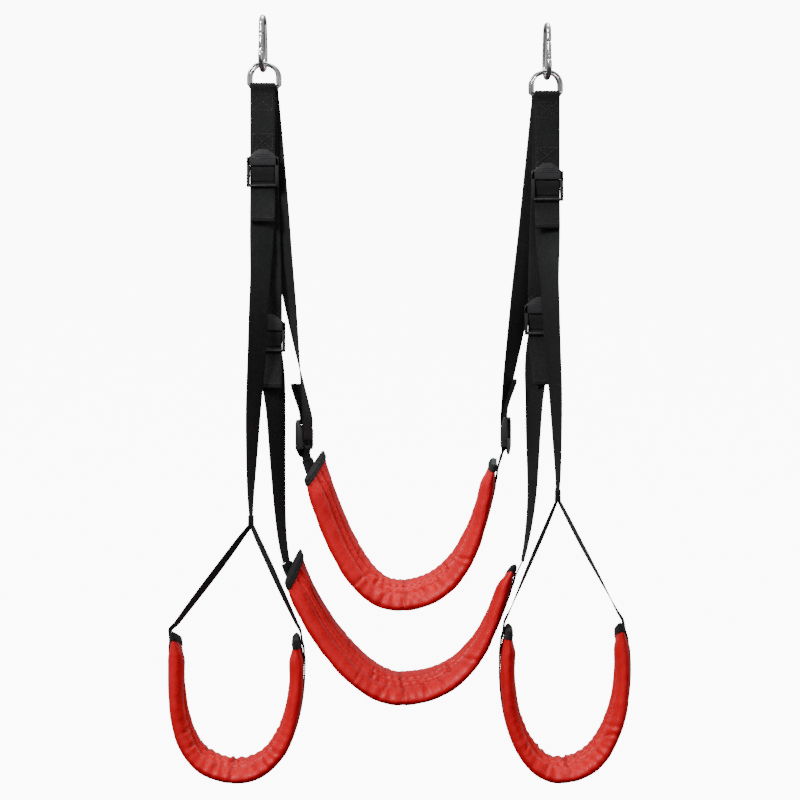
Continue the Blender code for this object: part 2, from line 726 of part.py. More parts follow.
SEAT_RUN = carrier("seat_carrier", SEAT_U, SEAT_TURN, SEAT_SLANT, 0.0, (9.0, 18.0))
BACK_RUN = carrier("back_carrier", BACK_U, BACK_TURN, BACK_SLANT, RING_PITCH, (13.0, 9.0))


def leg_side(side):
    """Loop, buckle, adjustable strap, tail, junction and loop webbing of one leg sling."""
    k = 0 if side == "left" else 1
    sign = side_sign(side)
    bar = ring_bar(side, -1)
    head = np.array([bar[0], bar[1], LEG_BUCKLE[k]])
    frame = level_frame(head)
    loop_strap(side + "_leg_upper_strap", bar, head, frame)
    buckle(side + "_leg_buckle", frame)
    node = np.array([JUNCTION[k][0], LEG_DEPTH, JUNCTION[k][1]])
    standing_part(side + "_leg_strap", frame, node + (0, 0, 9.0 + GAP + 0.3),
                  (0.07, -sign), (0, 0, -1.0), LEG_EASE[k], forward=0.42)
    tail(side + "_leg_tail", frame, TAIL_START - (LEG_TAIL_END[k] - LEG_BUCKLE[k]), swing=9.0)
    low, high = node + (-3.4, -WEB / 2 - 1, -9.0), node + (3.4, WEB / 2 + 1, 9.0)
    box(side + "_leg_junction", low, high, "webbing")
    leg_loop(side, node)


def leg_loop(side, node):
    u = LEFT_LEG_U if side == "left" else RIGHT_LEG_U
    turn = LEFT_LEG_TURN if side == "left" else RIGHT_LEG_TURN
    slant = LEFT_LEG_SLANT if side == "left" else RIGHT_LEG_SLANT
    steps = BAND_STEPS
    length = u_path(u, steps)[1]
    centre, wide, normal, share = band_frames(u, turn, slant, LEG_DEPTH, steps, 0.0, (6.0, 6.0))
    run = centre + normal * carrier_offset(share, length)[:, None]
    start, end = node + (-1.8, 0, -10.6), node + (1.8, 0, -10.6)
    t = np.linspace(0, 1, 5)[:-1, None]
    left = start * (1 - t) + run[0] * t
    right = (end * (1 - t) + run[-1] * t)[::-1]
    path = np.concatenate([left, run, right])
    flat = np.array([0.0, 1.0, 0.0])
    twists = BRANCH_TURN[0 if side == "left" else 1]
    swell = np.sin(math.pi * (0.25 + 0.75 * t))
    side_wide = flat * (1 - t) + wide[0] * t
    side_wide = side_wide + np.array([1.0, 0, 0]) * swell * math.tan(math.radians(twists[0]))
    other_wide = flat * (1 - t) + wide[-1] * t
    other_wide = other_wide + np.array([1.0, 0, 0]) * swell * math.tan(math.radians(twists[1]))
    other_wide = other_wide[::-1]
    ribbon(side + "_leg_loop_webbing", path, unit(np.concatenate([side_wide, wide, other_wide])))


def seat_side(side):
    k = 0 if side == "left" else 1
    sign = side_sign(side)
    bar = ring_bar(side, 0)
    head = np.array([bar[0] - sign * SEAT_BUCKLE_IN, bar[1], SEAT_BUCKLE[k]])
    frame = level_frame(head)
    loop_strap("seat_" + side + "_upper_strap", bar, head, frame)
    buckle("seat_" + side + "_buckle", frame)
    path, wide = SEAT_RUN
    row = 0 if side == "left" else -1
    step = 1 if side == "left" else -1
    lead = unit(path[row + step] - path[row])
    across = wide[row] * (-sign)
    standing_part("seat_" + side + "_strap", frame, path[row] - lead * (GAP + 0.2),
                  across, unit(lead - (0, 0, 1.0)), SEAT_EASE, veer=-sign * 0.16)
    flare = 0.0 if side == "left" else 7.0
    tail("seat_" + side + "_tail", frame, TAIL_START - (SEAT_TAIL_END[k] - SEAT_BUCKLE[k]),
         swing=SEAT_TAIL_SWING, lean=flare)


def back_side(side):
    k = 0 if side == "left" else 1
    sign = side_sign(side)
    bar = ring_bar(side, 1)
    path, wide = BACK_RUN
    row = 0 if side == "left" else -1
    step = 1 if side == "left" else -1
    head = np.array([BACK_BUCKLE[k][0], bar[1], BACK_BUCKLE[k][1]])
    frame = level_frame(head, sign * BACK_TWIST[k], flip=True)
    buckle("back_" + side + "_buckle", frame)
    # From the ring down to the buckle, then round its grip bar; the tail goes back up.
    turn = turn_path()
    start = place(np.c_[np.zeros(len(turn)), turn], frame)
    radius = RING_WIRE + LOOP_GAP + WEB_THICK / 2
    over = arc((0, 0), radius, -60, 190, 9)
    top = bar + np.c_[np.zeros(len(over)), over]
    first = start[-1]
    t = np.linspace(0, 1, 13)[1:, None]
    drop = bar + np.array([0, -WEB_THICK / 2 - 0.3, -9.0])
    run = first * (1 - t) + drop * t
    run[:, 0] += sign * 5.0 * np.sin(t[:, 0] * math.pi)
    share = np.linspace(0, 1, 13)[1:]
    begin = math.atan2(-frame[1][1], -frame[1][0])
    angle = begin * (1 - share) ** BACK_EASE[k]
    run_wide = np.stack([np.cos(angle), np.sin(angle), 0 * angle], 1)
    top = top[::-1]
    line = np.concatenate([start, run, top])
    lines = np.concatenate([np.repeat([-frame[1]], len(start), 0), run_wide,
                            np.repeat([(1.0, 0, 0)], len(top), 0)])
    ribbon("back_" + side + "_strap", line, lines)
    tail("back_" + side + "_tail", frame, TAIL_START + (BACK_TAIL_END[k] - BACK_BUCKLE[k][1]),
         swing=14.0)
    link(side, frame, path[row], wide[row], unit(path[row + step] - path[row]))


def link(side, frame, end, end_wide, lead):
    """Narrow webbing folded over the buckle's fixed bar, its two ends sewn to the back band."""
    radius = BAR_RADIUS + LOOP_GAP - 0.1 + WEB_THICK / 2
    flat = arc((0, 0), radius, 215, -35, 10)
    round_bar = place(np.c_[np.zeros(len(flat)), flat * (1, -1)], frame)
    end = end - lead * LINK_GAP
    across = unit(end_wide - lead * np.dot(end_wide, lead))
    across = across if np.dot(across, frame[1]) > 0 else -across
    normal = unit(np.cross(across, lead))
    normal = normal if np.dot(round_bar[0] - frame[0], normal) > 0 else -normal
    half = WEB_THICK / 2 + 0.25
    legs = [[end + normal * half * layer, end + normal * half * layer - lead * 3.0]
            for layer in (1, -1)]
    path = np.concatenate([legs[0], round_bar, legs[1][::-1]])
    wide = np.concatenate([[across] * 2, np.repeat([frame[1]], len(round_bar), 0), [across] * 2])
    ribbon("back_" + side + "_link", path, wide, width=LINK_WEB)


for which in ("left", "right"):
    leg_side(which)
    seat_side(which)
    back_side(which)


def hang(axis, at, pieces, under=None):
    """An empty at a joint, with the pieces that move about it measured from it and parented."""
    pivot = bpy.data.objects.new(axis, None)
    pivot.empty_display_size = 0.02
    PART.objects.link(pivot)
    at = Vector(at) * MM
    pivot.parent = under
    pivot.location = at
    above = under
    while above:
        pivot.location -= above.location
        above = above.parent
    for piece in pieces:
        obj = bpy.data.objects[piece]
        obj.data.transform(Matrix.Translation(-at) @ obj.matrix_world)
        obj.matrix_world = Matrix.Identity(4)
        obj.parent = pivot
    return pivot


def middle(a, b):
    return (np.asarray(a) + np.asarray(b)) / 2


bpy.context.view_layer.update()
HANGER_PIECES = ["seat_left_upper_strap", "seat_right_upper_strap", "seat_left_buckle",
                 "seat_right_buckle"]
HANGER_PIECES += [which + "_" + use + "_ring" for which in ("left", "right") for use, _ in RINGS]
HANGER = hang("swing_axis", (0.0, 0.0, BOW_CENTRE), HANGER_PIECES)
hang("seat_height_axis", (0.0, 0.0, SEAT_BUCKLE[0] + GRIP_BAR),
     ["seat_left_strap", "seat_right_strap", "seat_carrier", "seat_pad_cover", "seat_pad_foam",
      "seat_left_binding", "seat_right_binding"], HANGER)
hang("seat_tail_axis", (0.0, 0.0, SEAT_BUCKLE[0] + TAIL_START),
     ["seat_left_tail", "seat_right_tail"], HANGER)
BACK_LINE = hang("back_lean_axis", middle(ring_bar("left", 1), ring_bar("right", 1)),
                 ["back_left_strap", "back_right_strap"], HANGER)
BACK_BAND = hang("back_height_axis", (0.0, RING_PITCH, BACK_BUCKLE[0][1] - GRIP_BAR),
                 ["back_left_buckle", "back_right_buckle", "back_left_link", "back_right_link",
                  "back_carrier", "back_pad_cover", "back_pad_foam", "back_left_binding",
                  "back_right_binding"], BACK_LINE)
hang("back_tail_axis", (0.0, RING_PITCH, BACK_BUCKLE[0][1] - TAIL_START),
     ["back_left_tail", "back_right_tail"], BACK_BAND)
for k, which in enumerate(("left", "right")):
    bar = ring_bar(which, -1)
    pivot = place((0.0, front_line(GATE_FOOT + 2.5), GATE_FOOT + 2.5), hook_frame(which))
    hang(which + "_gate_axis", pivot, [which + "_gate", which + "_gate_spring"])
    LEG_HANGER = hang(which + "_leg_lift_axis", bar,
                      [which + "_leg_upper_strap", which + "_leg_buckle"], HANGER)
    LEG_LINE = hang(which + "_leg_height_axis", (bar[0], bar[1], LEG_BUCKLE[k] + GRIP_BAR),
                    [which + "_leg_strap"], LEG_HANGER)
    hang(which + "_leg_tail_axis", (bar[0], bar[1], LEG_BUCKLE[k] + TAIL_START),
         [which + "_leg_tail"], LEG_HANGER)
    sling = [which + "_leg_" + end for end in ("junction", "loop_webbing", "pad_cover",
                                               "pad_foam", "left_binding", "right_binding")]
    hang(which + "_leg_spread_axis", (JUNCTION[k][0], LEG_DEPTH, JUNCTION[k][1] + 9.0), sling,
         LEG_LINE)
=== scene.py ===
import math

import bmesh
import bpy
import numpy as np
from mathutils import Matrix, Vector


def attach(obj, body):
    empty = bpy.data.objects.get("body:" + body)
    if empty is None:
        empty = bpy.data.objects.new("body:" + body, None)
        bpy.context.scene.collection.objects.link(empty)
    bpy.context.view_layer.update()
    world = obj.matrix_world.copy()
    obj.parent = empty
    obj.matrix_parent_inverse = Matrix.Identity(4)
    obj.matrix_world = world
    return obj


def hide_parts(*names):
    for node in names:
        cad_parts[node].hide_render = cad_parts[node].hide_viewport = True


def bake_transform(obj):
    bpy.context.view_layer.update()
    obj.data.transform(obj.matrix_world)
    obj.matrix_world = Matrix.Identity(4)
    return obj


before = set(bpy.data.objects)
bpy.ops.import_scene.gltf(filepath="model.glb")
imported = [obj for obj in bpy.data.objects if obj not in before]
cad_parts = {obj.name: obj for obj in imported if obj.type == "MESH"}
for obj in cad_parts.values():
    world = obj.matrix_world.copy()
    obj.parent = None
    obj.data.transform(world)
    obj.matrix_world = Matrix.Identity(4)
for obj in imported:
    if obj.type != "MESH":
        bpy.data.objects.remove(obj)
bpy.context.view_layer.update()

# Lengths are millimetres here and become metres when a mesh is made.
MM = 0.001

# Hooks and D-rings
HOOK_SPAN, HOOK_DROP, HOOK_WIRE, HOOK_LENGTH = 432.0, 12.0, 4.0, 88.0
EYE_RADIUS, BOW_RADIUS, HOOK_YAW = 9.0, 15.0, 8.0
GATE_TOP, GATE_FOOT, GATE_RADIUS, PIN_RADIUS = -23.0, -50.0, 3.6, 1.0
BOW_CENTRE = 4 * HOOK_WIRE - HOOK_LENGTH + BOW_RADIUS
RING_WIRE, RING_WIDTH, RING_HEIGHT = 2.0, 44.0, 34.0
RING_PITCH, RING_STEP_IN, RING_GAP = 7.7, 2.2, 0.9
RING_LAYER = {"leg": -1, "seat": 0, "back": 1}

# Webbing
WEB, WEB_THICK, GAP, LOOP_GAP = 38.0, 1.5, 0.3, 0.5
LINK_WEB, LINK_GAP = 26.0, 1.0

# Ladder-lock buckle
BAR_RADIUS, GRIP_BAR, GRIP_BACK, FOOT_BAR, FOOT_BACK = 2.2, -14.0, -0.5, -41.0, -5.2
SIDE_WIDTH, TAB_TOP, TAB_FRONT = 4.4, 14.0, -7.4
TAIL_BACK, TAIL_START = -1.6, FOOT_BAR + 5.6 - GAP

# Padded bands
BAND, BAND_THICK, BAND_END_THICK = 94.0, 19.0, 9.0
BINDING_LENGTH, BINDING_THICK, CUP_GAP = 13.0, 1.1, 0.7
SEAM_FRONT, SEAM_REAR = -13.0, 7.0

# Heights of the buckles' top bars and of the free ends, left then right
LEG_BUCKLE, LEG_TAIL_END = (-206.0, -227.0), (-302.0, -312.0)
SEAT_BUCKLE, SEAT_TAIL_END = (-456.0, -430.0), (-554.0, -549.0)
BACK_BUCKLE, BACK_TAIL_END = ((-151.0, -645.0), (151.0, -641.0)), (-547.0, -540.0)
BACK_TWIST = (111.0, 80.0)
# Power by which a back strap untwists on its way up, left then right
BACK_EASE = (1.4, 1.7)
# How a strap turns below its buckle: share turned early, by what share of the run, and the
# power of the rest
LEG_EASE = ((0.45, 0.3, 2.6), (0.5, 0.3, 2.0))
SEAT_EASE = (0.3, 0.3, 0.8)
# Seat buckle toward the middle, and how far its free end swings forward
SEAT_BUCKLE_IN = 8.0
SEAT_TAIL_SWING = 10.0
# Degrees that the two branches of each leg loop turn toward the front, left loop then right
BRANCH_TURN = ((14.0, 9.0), (12.0, 12.0))
JUNCTION, LEG_DEPTH = ((-232.5, -754.0), (230.5, -716.0)), -36.0

# Each band: U shape, turn about its length (left, foot, right), slant of its ends, depth
BANDS = {
    "back": (dict(left=(-138.0, -672.0), right=(135.0, -667.0), foot=(-10.0, -867.0),
                  lean=(17.5, 17.5), arm=(0.45, 0.25), base=(0.25, 0.45)),
             (24.0, 26.0, 1.0), (-0.36, 0.0, 0.10), RING_PITCH),
    "seat": (dict(left=(-170.0, -825.0), right=(163.0, -830.0), foot=(-10.0, -1008.0),
                  lean=(20.0, 27.5), arm=(0.45, 0.25), base=(0.20, 0.50)),
             (23.0, 28.0, -2.0), (-0.42, -0.10, -0.20), 0.0),
    "left_leg": (dict(left=(-346.0, -927.0), right=(-165.0, -930.0), foot=(-251.0, -1129.0),
                      lean=(8.0, -9.0), arm=(0.25, 0.34), base=(0.50, 0.35)),
                 (2.0, 16.0, 0.0), (0.16, 0.0, 0.05), LEG_DEPTH),
    "right_leg": (dict(left=(157.0, -916.0), right=(322.0, -914.0), foot=(232.0, -1128.0),
                       lean=(-7.0, -10.0), arm=(0.60, 0.40), base=(0.20, 0.35)),
                  (0.0, 17.0, 1.0), (-0.05, -0.08, -0.16), LEG_DEPTH),
}


# ------------------------------------------------------------------ shading
def put(tree, kind, values=(), **settings):
    """One node with its socket values (by name or index) and settings."""
    made = tree.nodes.new(kind)
    for key, value in settings.items():
        setattr(made, key, value)
    for key, value in dict(values).items():
        if isinstance(value, bpy.types.NodeSocket):
            tree.links.new(value, made.inputs[key])
        else:
            made.inputs[key].default_value = value
    return made


def calc(tree, operation, a, b=0.0, c=0.0):
    """One Math node."""
    return put(tree, "ShaderNodeMath", {0: a, 1: b, 2: c}, operation=operation).outputs[0]


def new_group(name, takes, gives):
    """A node group; takes lists (name, default) and gives lists (name, socket type)."""
    tree = bpy.data.node_groups.new(name, "ShaderNodeTree")
    for label, default in takes:
        kind = "NodeSocketColor" if isinstance(default, tuple) else "NodeSocketFloat"
        tree.interface.new_socket(label, in_out="INPUT", socket_type=kind).default_value = default
    for label, kind in gives:
        tree.interface.new_socket(label, in_out="OUTPUT", socket_type=kind)
    return tree, tree.nodes.new("NodeGroupInput").outputs, tree.nodes.new("NodeGroupOutput").inputs


def weave_group():
    """Woven threads on the piece's own UV, which is in metres: with p across and q along, each
    counted in threads, the height is |sin(pi p)| where the warp is on top and |sin(pi q)| where
    the weft is, which swap on each thread like a chessboard."""
    tree, take, give = new_group(
        "thread_weave", [("Across", 1.2), ("Along", 0.8), ("Unevenness", 0.25)],
        [("Height", "NodeSocketFloat"), ("Thread_shade_and_tone", "NodeSocketFloat")])
    where = put(tree, "ShaderNodeUVMap", uv_map="UVMap").outputs[0]
    split = put(tree, "ShaderNodeSeparateXYZ", {0: where}).outputs
    p = calc(tree, "DIVIDE", calc(tree, "MULTIPLY", split[0], 1000.0), take["Across"])
    q = calc(tree, "DIVIDE", calc(tree, "MULTIPLY", split[1], 1000.0), take["Along"])
    warp = calc(tree, "ABSOLUTE", calc(tree, "SINE", calc(tree, "MULTIPLY", p, math.pi)))
    weft = calc(tree, "ABSOLUTE", calc(tree, "SINE", calc(tree, "MULTIPLY", q, math.pi)))
    cells = calc(tree, "ADD", calc(tree, "FLOOR", p), calc(tree, "FLOOR", q))
    odd = calc(tree, "PINGPONG", cells, 1.0)
    over = calc(tree, "MULTIPLY", warp, odd)
    under = calc(tree, "MULTIPLY", weft, calc(tree, "SUBTRACT", 1.0, odd))
    height = calc(tree, "ADD", over, under)
    cloud = put(tree, "ShaderNodeTexNoise", {"Vector": where, "Scale": 260.0, "Detail": 3.0})
    uneven = calc(tree, "MULTIPLY", cloud.outputs[0], take["Unevenness"])
    tree.links.new(calc(tree, "ADD", height, uneven), give["Height"])
    # The second output is the thread height times a cloud: low where the threads dip, which
    # cloth_finish turns into painted shade between the threads, and uneven at random.
    tree.links.new(calc(tree, "MULTIPLY", height, calc(tree, "ADD", cloud.outputs[0], 0.4)),
                   give["Thread_shade_and_tone"])
    return tree


def fade_group():
    """Slow uneven colour: two sizes of cloud mixed, and a dust mask where a surface looks up."""
    tree, take, give = new_group(
        "fade_and_dust", [("Patch", 9.0), ("Speck", 240.0)],
        [("Patches", "NodeSocketFloat"), ("Specks", "NodeSocketFloat"),
         ("Dust", "NodeSocketFloat")])
    where = put(tree, "ShaderNodeTexCoord").outputs["Object"]
    patch = put(tree, "ShaderNodeTexNoise",
                {"Vector": where, "Scale": take["Patch"], "Detail": 4.0, "Roughness": 0.6})
    speck = put(tree, "ShaderNodeTexNoise",
                {"Vector": where, "Scale": take["Speck"], "Detail": 2.0})
    normal = put(tree, "ShaderNodeNewGeometry").outputs["Normal"]
    up = put(tree, "ShaderNodeSeparateXYZ", {0: normal}).outputs[2]
    dust = calc(tree, "MULTIPLY", calc(tree, "MAXIMUM", up, 0.0), patch.outputs[0])
    tree.links.new(patch.outputs[0], give["Patches"])
    tree.links.new(speck.outputs[0], give["Specks"])
    tree.links.new(dust, give["Dust"])
    return tree


def mix(tree, share, a, b):
    """Colour a where share is 0 and b where it is 1."""
    return put(tree, "ShaderNodeMix", {"Factor": share, 6: a, 7: b},
               data_type="RGBA").outputs[2]


def ramp(tree, value, low, high, out_low=0.0, out_high=1.0):
    """Value mapped from low..high to out_low..out_high and held at both ends."""
    return put(tree, "ShaderNodeMapRange",
               {0: value, 1: low, 2: high, 3: out_low, 4: out_high}).outputs[0]


def bump(tree, height, strength, distance, normal=None):
    """Raises the surface by a height, on top of an earlier bump if one is given."""
    made = put(tree, "ShaderNodeBump", {"Strength": strength, "Distance": distance,
                                        "Height": height})
    if normal is not None:
        tree.links.new(normal, made.inputs["Normal"])
    return made.outputs[0]


def new_finish(name, plain):
    """A material with its shader, the plain socket values set on it."""
    made = bpy.data.materials.new(name)
    made.use_nodes = True
    tree = made.node_tree
    shader = tree.nodes["Principled BSDF"]
    for label, value in plain.items():
        shader.inputs[label].default_value = value
    return made, tree, shader


WEAVE = weave_group()
FADE = fade_group()


def cloth_finish(name, colour, shade, threads, bite, rough, plain, fold=0.0):
    """Woven cloth: thread weave with painted shade in the gaps between threads, slow fading, and,
    where fold is set, painted shade in the pad's grooves, creases and rear panel.
    """
    made, tree, shader = new_finish(name, plain)
    weave = put(tree, "ShaderNodeGroup", node_tree=WEAVE)
    weave.inputs["Across"].default_value, weave.inputs["Along"].default_value = threads
    fade = put(tree, "ShaderNodeGroup", node_tree=FADE)
    tone = mix(tree, ramp(tree, fade.outputs["Patches"], 0.35, 0.65), colour, shade)
    # Painted shade in the gaps between threads: where the weave's height is low the colour is mixed
    # toward the darker colour; the cloud in it adds random tone.
    tone = mix(tree, ramp(tree, weave.outputs["Thread_shade_and_tone"], 0.1, 0.8, 0.30, 0.0), tone, shade)
    # Painted shade: where the pad's shade mark is set, the colour is mixed toward 0.35 of itself, up
    # to the share fold, for shade in the seam grooves, the creases and over the rear panel.
    if fold:
        painted_shade = put(tree, "ShaderNodeAttribute", attribute_name="painted_shade").outputs["Fac"]
        deep_shade_colour = tuple(c * 0.35 for c in colour[:3]) + (1.0,)
        tone = mix(tree, ramp(tree, painted_shade, 0.15, 1.0, 0.0, fold), tone, deep_shade_colour)
    tree.links.new(tone, shader.inputs["Base Color"])
    tree.links.new(ramp(tree, fade.outputs["Specks"], 0.3, 0.7, rough - 0.06, rough + 0.08),
                   shader.inputs["Roughness"])
    rumple = put(tree, "ShaderNodeTexNoise",
                 {"Vector": put(tree, "ShaderNodeTexCoord").outputs["Object"], "Scale": 34.0,
                  "Detail": 4.0, "Distortion": 0.7})
    first = bump(tree, rumple.outputs[0], 0.35 if fold else 0.12, 0.0025)
    tree.links.new(bump(tree, weave.outputs["Height"], bite, 0.0003, first),
                   shader.inputs["Normal"])
    return made


def metal_finish(name, colour, rough, plain):
    """Plated or drawn steel: faint orange peel, fine scratches and duller patches."""
    made, tree, shader = new_finish(name, plain)
    fade = put(tree, "ShaderNodeGroup", node_tree=FADE)
    dull = tuple(c * 0.72 for c in colour[:3]) + (1.0,)
    tree.links.new(mix(tree, ramp(tree, fade.outputs["Patches"], 0.45, 0.75), colour, dull),
                   shader.inputs["Base Color"])
    where = put(tree, "ShaderNodeTexCoord").outputs["Object"]
    scratch = put(tree, "ShaderNodeTexNoise",
                  {"Vector": put(tree, "ShaderNodeMapping", {0: where, 3: (90, 90, 1400)}).outputs[0],
                   "Scale": 1.0, "Detail": 2.0})
    tree.links.new(ramp(tree, scratch.outputs[0], 0.35, 0.7, rough, rough + 0.16),
                   shader.inputs["Roughness"])
    tree.links.new(bump(tree, fade.outputs["Specks"], 0.08, 0.0002), shader.inputs["Normal"])
    return made


def plastic_finish():
    """Satin moulded plastic with a fine spark-eroded grain and scuffed lighter patches."""
    made, tree, shader = new_finish("buckle_plastic_finish",
                                    {"IOR": 1.49, "Coat Weight": 0.12, "Coat Roughness": 0.35})
    fade = put(tree, "ShaderNodeGroup", node_tree=FADE)
    fade.inputs["Speck"].default_value = 900.0
    tone = mix(tree, ramp(tree, fade.outputs["Patches"], 0.4, 0.7),
               (0.014, 0.014, 0.016, 1.0), (0.030, 0.030, 0.033, 1.0))
    tree.links.new(tone, shader.inputs["Base Color"])
    tree.links.new(ramp(tree, fade.outputs["Specks"], 0.3, 0.7, 0.30, 0.46),
                   shader.inputs["Roughness"])
    tree.links.new(bump(tree, fade.outputs["Specks"], 0.12, 0.0003), shader.inputs["Normal"])
    return made


BLACK_WEB = cloth_finish("black_webbing", (0.0045, 0.0045, 0.005, 1), (0.009, 0.009, 0.0095, 1),
                         (1.5, 1.1), 0.55, 0.72,
                         {"Sheen Weight": 0.03, "Sheen Roughness": 0.5, "IOR": 1.45,
                          "Specular IOR Level": 0.35})
# fold=0.8: the red goes up to 0.8 of the way toward 0.35 of itself where the pad's painted shade mark
# is set, for shade in its grooves, creases and over its rear panel.
RED_NYLON = cloth_finish("red_nylon", (0.86, 0.0006, 0.010, 1), (0.72, 0.0005, 0.008, 1),
                         (0.55, 0.55), 0.18, 0.40,
                         {"Sheen Weight": 0.06, "Sheen Roughness": 0.35, "IOR": 1.45,
                          "Specular IOR Level": 0.38,
                          "Sheen Tint": (1.0, 0.35, 0.32, 1.0)}, fold=0.8)
BLACK_TAPE = cloth_finish("black_binding_tape", (0.007, 0.007, 0.008, 1), (0.014, 0.014, 0.015, 1),
                          (0.9, 1.3), 0.6, 0.78,
                          {"Sheen Weight": 0.04, "Sheen Roughness": 0.5, "IOR": 1.45,
                           "Specular IOR Level": 0.35})
BLACK_THREAD = cloth_finish("black_thread", (0.03, 0.03, 0.032, 1), (0.05, 0.05, 0.055, 1),
                            (0.4, 0.4), 0.3, 0.5, {"Sheen Weight": 0.1, "IOR": 1.45})
RED_THREAD = cloth_finish("red_thread", (0.60, 0.010, 0.014, 1), (0.42, 0.008, 0.01, 1),
                          (0.4, 0.4), 0.3, 0.5, {"Sheen Weight": 0.1, "IOR": 1.45})
TAG_CLOTH = cloth_finish("tag_cloth", (0.10, 0.13, 0.11, 1), (0.15, 0.18, 0.16, 1),
                         (0.5, 0.5), 0.3, 0.7, {"Sheen Weight": 0.1, "IOR": 1.45})
FOAM = cloth_finish("pad_foam", (0.75, 0.72, 0.62, 1), (0.68, 0.64, 0.52, 1),
                    (1.0, 1.0), 0.2, 0.9, {"IOR": 1.4})
CHROME = metal_finish("chrome_plate", (0.80, 0.81, 0.83, 1), 0.07, {"Metallic": 1.0})
SPRING_STEEL = metal_finish("drawn_spring_steel", (0.45, 0.45, 0.47, 1), 0.28, {"Metallic": 1.0})
PLASTIC = plastic_finish()


# ------------------------------------------------------------------ shapes
def unit(v):
    """Vectors scaled to length one; a vector of no length stays as it is."""
    v = np.asarray(v, float)
    size = np.linalg.norm(v, axis=-1, keepdims=True)
    return v / np.where(size > 0, size, 1.0)


def smooth(t):
    """Eases from 0 to 1: 3 t squared minus 2 t cubed, held at both ends."""
    t = np.clip(t, 0.0, 1.0)
    return t * t * (3.0 - 2.0 * t)


def hump(x, width):
    """A bell: exp(-(x / width)^2)."""
    return np.exp(-(np.asarray(x) / width) ** 2)


def runs(points):
    """Distance along a row of points."""
    return np.r_[0, np.cumsum(np.linalg.norm(np.diff(points, axis=0), axis=1))]


def tangents(path, closed=False):
    """Direction of a row of points at each of them."""
    if closed:
        return unit(np.roll(path, -1, 0) - np.roll(path, 1, 0))
    return unit(np.gradient(path, axis=0))


def flow(points, step, columns=3):
    """Rows every step mm on a smooth curve through the given rows. Between two rows it is the
    cubic with their values and slopes, each slope the weighted mean of the chords beside it."""
    points = np.asarray(points, float)
    run = runs(points[:, :columns])
    slope = np.gradient(points, run, axis=0)
    at = np.linspace(0, run[-1], max(int(run[-1] / step) + 1, 5))
    k = np.clip(np.searchsorted(run, at, side="right") - 1, 0, len(run) - 2)
    gap = (run[k + 1] - run[k])[:, None]
    t = (at - run[k])[:, None] / gap
    return ((2 * t ** 3 - 3 * t ** 2 + 1) * points[k] + (t ** 3 - 2 * t ** 2 + t) * gap * slope[k]
            + (3 * t ** 2 - 2 * t ** 3) * points[k + 1] + (t ** 3 - t ** 2) * gap * slope[k + 1])


def ready(obj, finish, body, stands_for=(), between=None):
    """Gives a piece its material, hides the CAD nodes it stands for, and hangs it from its body, or
    bakes its place into its mesh when it runs between two bodies.
    """
    obj.data.materials.append(finish)
    if stands_for:
        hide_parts(*stands_for)
    if between:
        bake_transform(obj)
    else:
        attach(obj, body)
    return obj


def skin(name, grid, along, around, loop=False, caps=True, marks=None):
    """A mesh on a grid of points in millimetres. Row i is a section whose points run round and
    close on themselves; loop joins the last row to the first. UV is (around, along) in metres."""
    grid = np.asarray(grid, float)
    rows, size = grid.shape[:2]
    i, j = np.meshgrid(np.arange(rows if loop else rows - 1), np.arange(size), indexing="ij")
    ni, nj = (i + 1) % rows, (j + 1) % size
    quads = np.stack([i * size + j, i * size + nj, ni * size + nj, ni * size + j], -1)
    along = np.broadcast_to(np.asarray(along, float), (rows,))
    along = np.r_[along, along[-1] + (along[1] - along[0])] if loop else along
    u = np.stack([around[j], around[j + 1], around[j + 1], around[j]], -1)
    v = np.stack([along[i], along[i], along[i + 1], along[i + 1]], -1)
    uv = np.stack([u, v], -1).reshape(-1, 4, 2)
    quads = quads.reshape(-1, 4)
    flat = grid.reshape(-1, 3)
    corner = flat - flat.mean(0)
    signed = np.einsum("ij,ij->i", corner[quads[:, 0]],
                       np.cross(corner[quads[:, 1]] - corner[quads[:, 0]],
                                corner[quads[:, 3]] - corner[quads[:, 0]])).sum()
    first = np.arange(size)[::-1]
    last = (rows - 1) * size + np.arange(size)
    if signed < 0:
        quads, uv, first, last = quads[:, ::-1], uv[:, ::-1], first[::-1], last[::-1]
    faces = quads.tolist()
    texture = uv.reshape(-1, 2)
    if caps and not loop:
        faces += [first.tolist(), last.tolist()]
        ends = np.zeros((2 * size, 2))
        ends[:size, 0], ends[size:, 0] = around[first % size], around[last % size]
        ends[:size, 1], ends[size:, 1] = along[0], along[-1]
        texture = np.concatenate([texture, ends])
    mesh = bpy.data.meshes.new(name)
    mesh.from_pydata((flat * MM).tolist(), [], faces)
    mesh.uv_layers.new(name="UVMap").data.foreach_set("uv", (texture * MM).ravel())
    for label, values in (marks or {}).items():
        layer = mesh.attributes.new(label, "FLOAT", "POINT")
        layer.data.foreach_set("value", np.asarray(values, np.float32).ravel())
    mesh.shade_smooth()
    obj = bpy.data.objects.new(name, mesh)
    bpy.context.scene.collection.objects.link(obj)
    return obj


def perimeter(profile):
    """Distance round a closed profile, with the whole length as the last number."""
    return np.r_[0, np.cumsum(np.linalg.norm(np.roll(profile, -1, 0) - profile, axis=1))]


def sections(path, wide, profile, closed=False):
    """Profile points (across, through) carried along a path: across follows wide, made square
    to the path, and through is the cross product of the path's direction and across."""
    along = tangents(path, closed)
    wide = np.broadcast_to(np.asarray(wide, float), path.shape)
    wide = unit(wide - along * (wide * along).sum(1, keepdims=True))
    through = np.cross(along, wide)
    if profile.ndim == 2:
        profile = np.broadcast_to(profile, (len(path),) + profile.shape)
    return path[:, None] + wide[:, None] * profile[..., :1] + through[:, None] * profile[..., 1:]


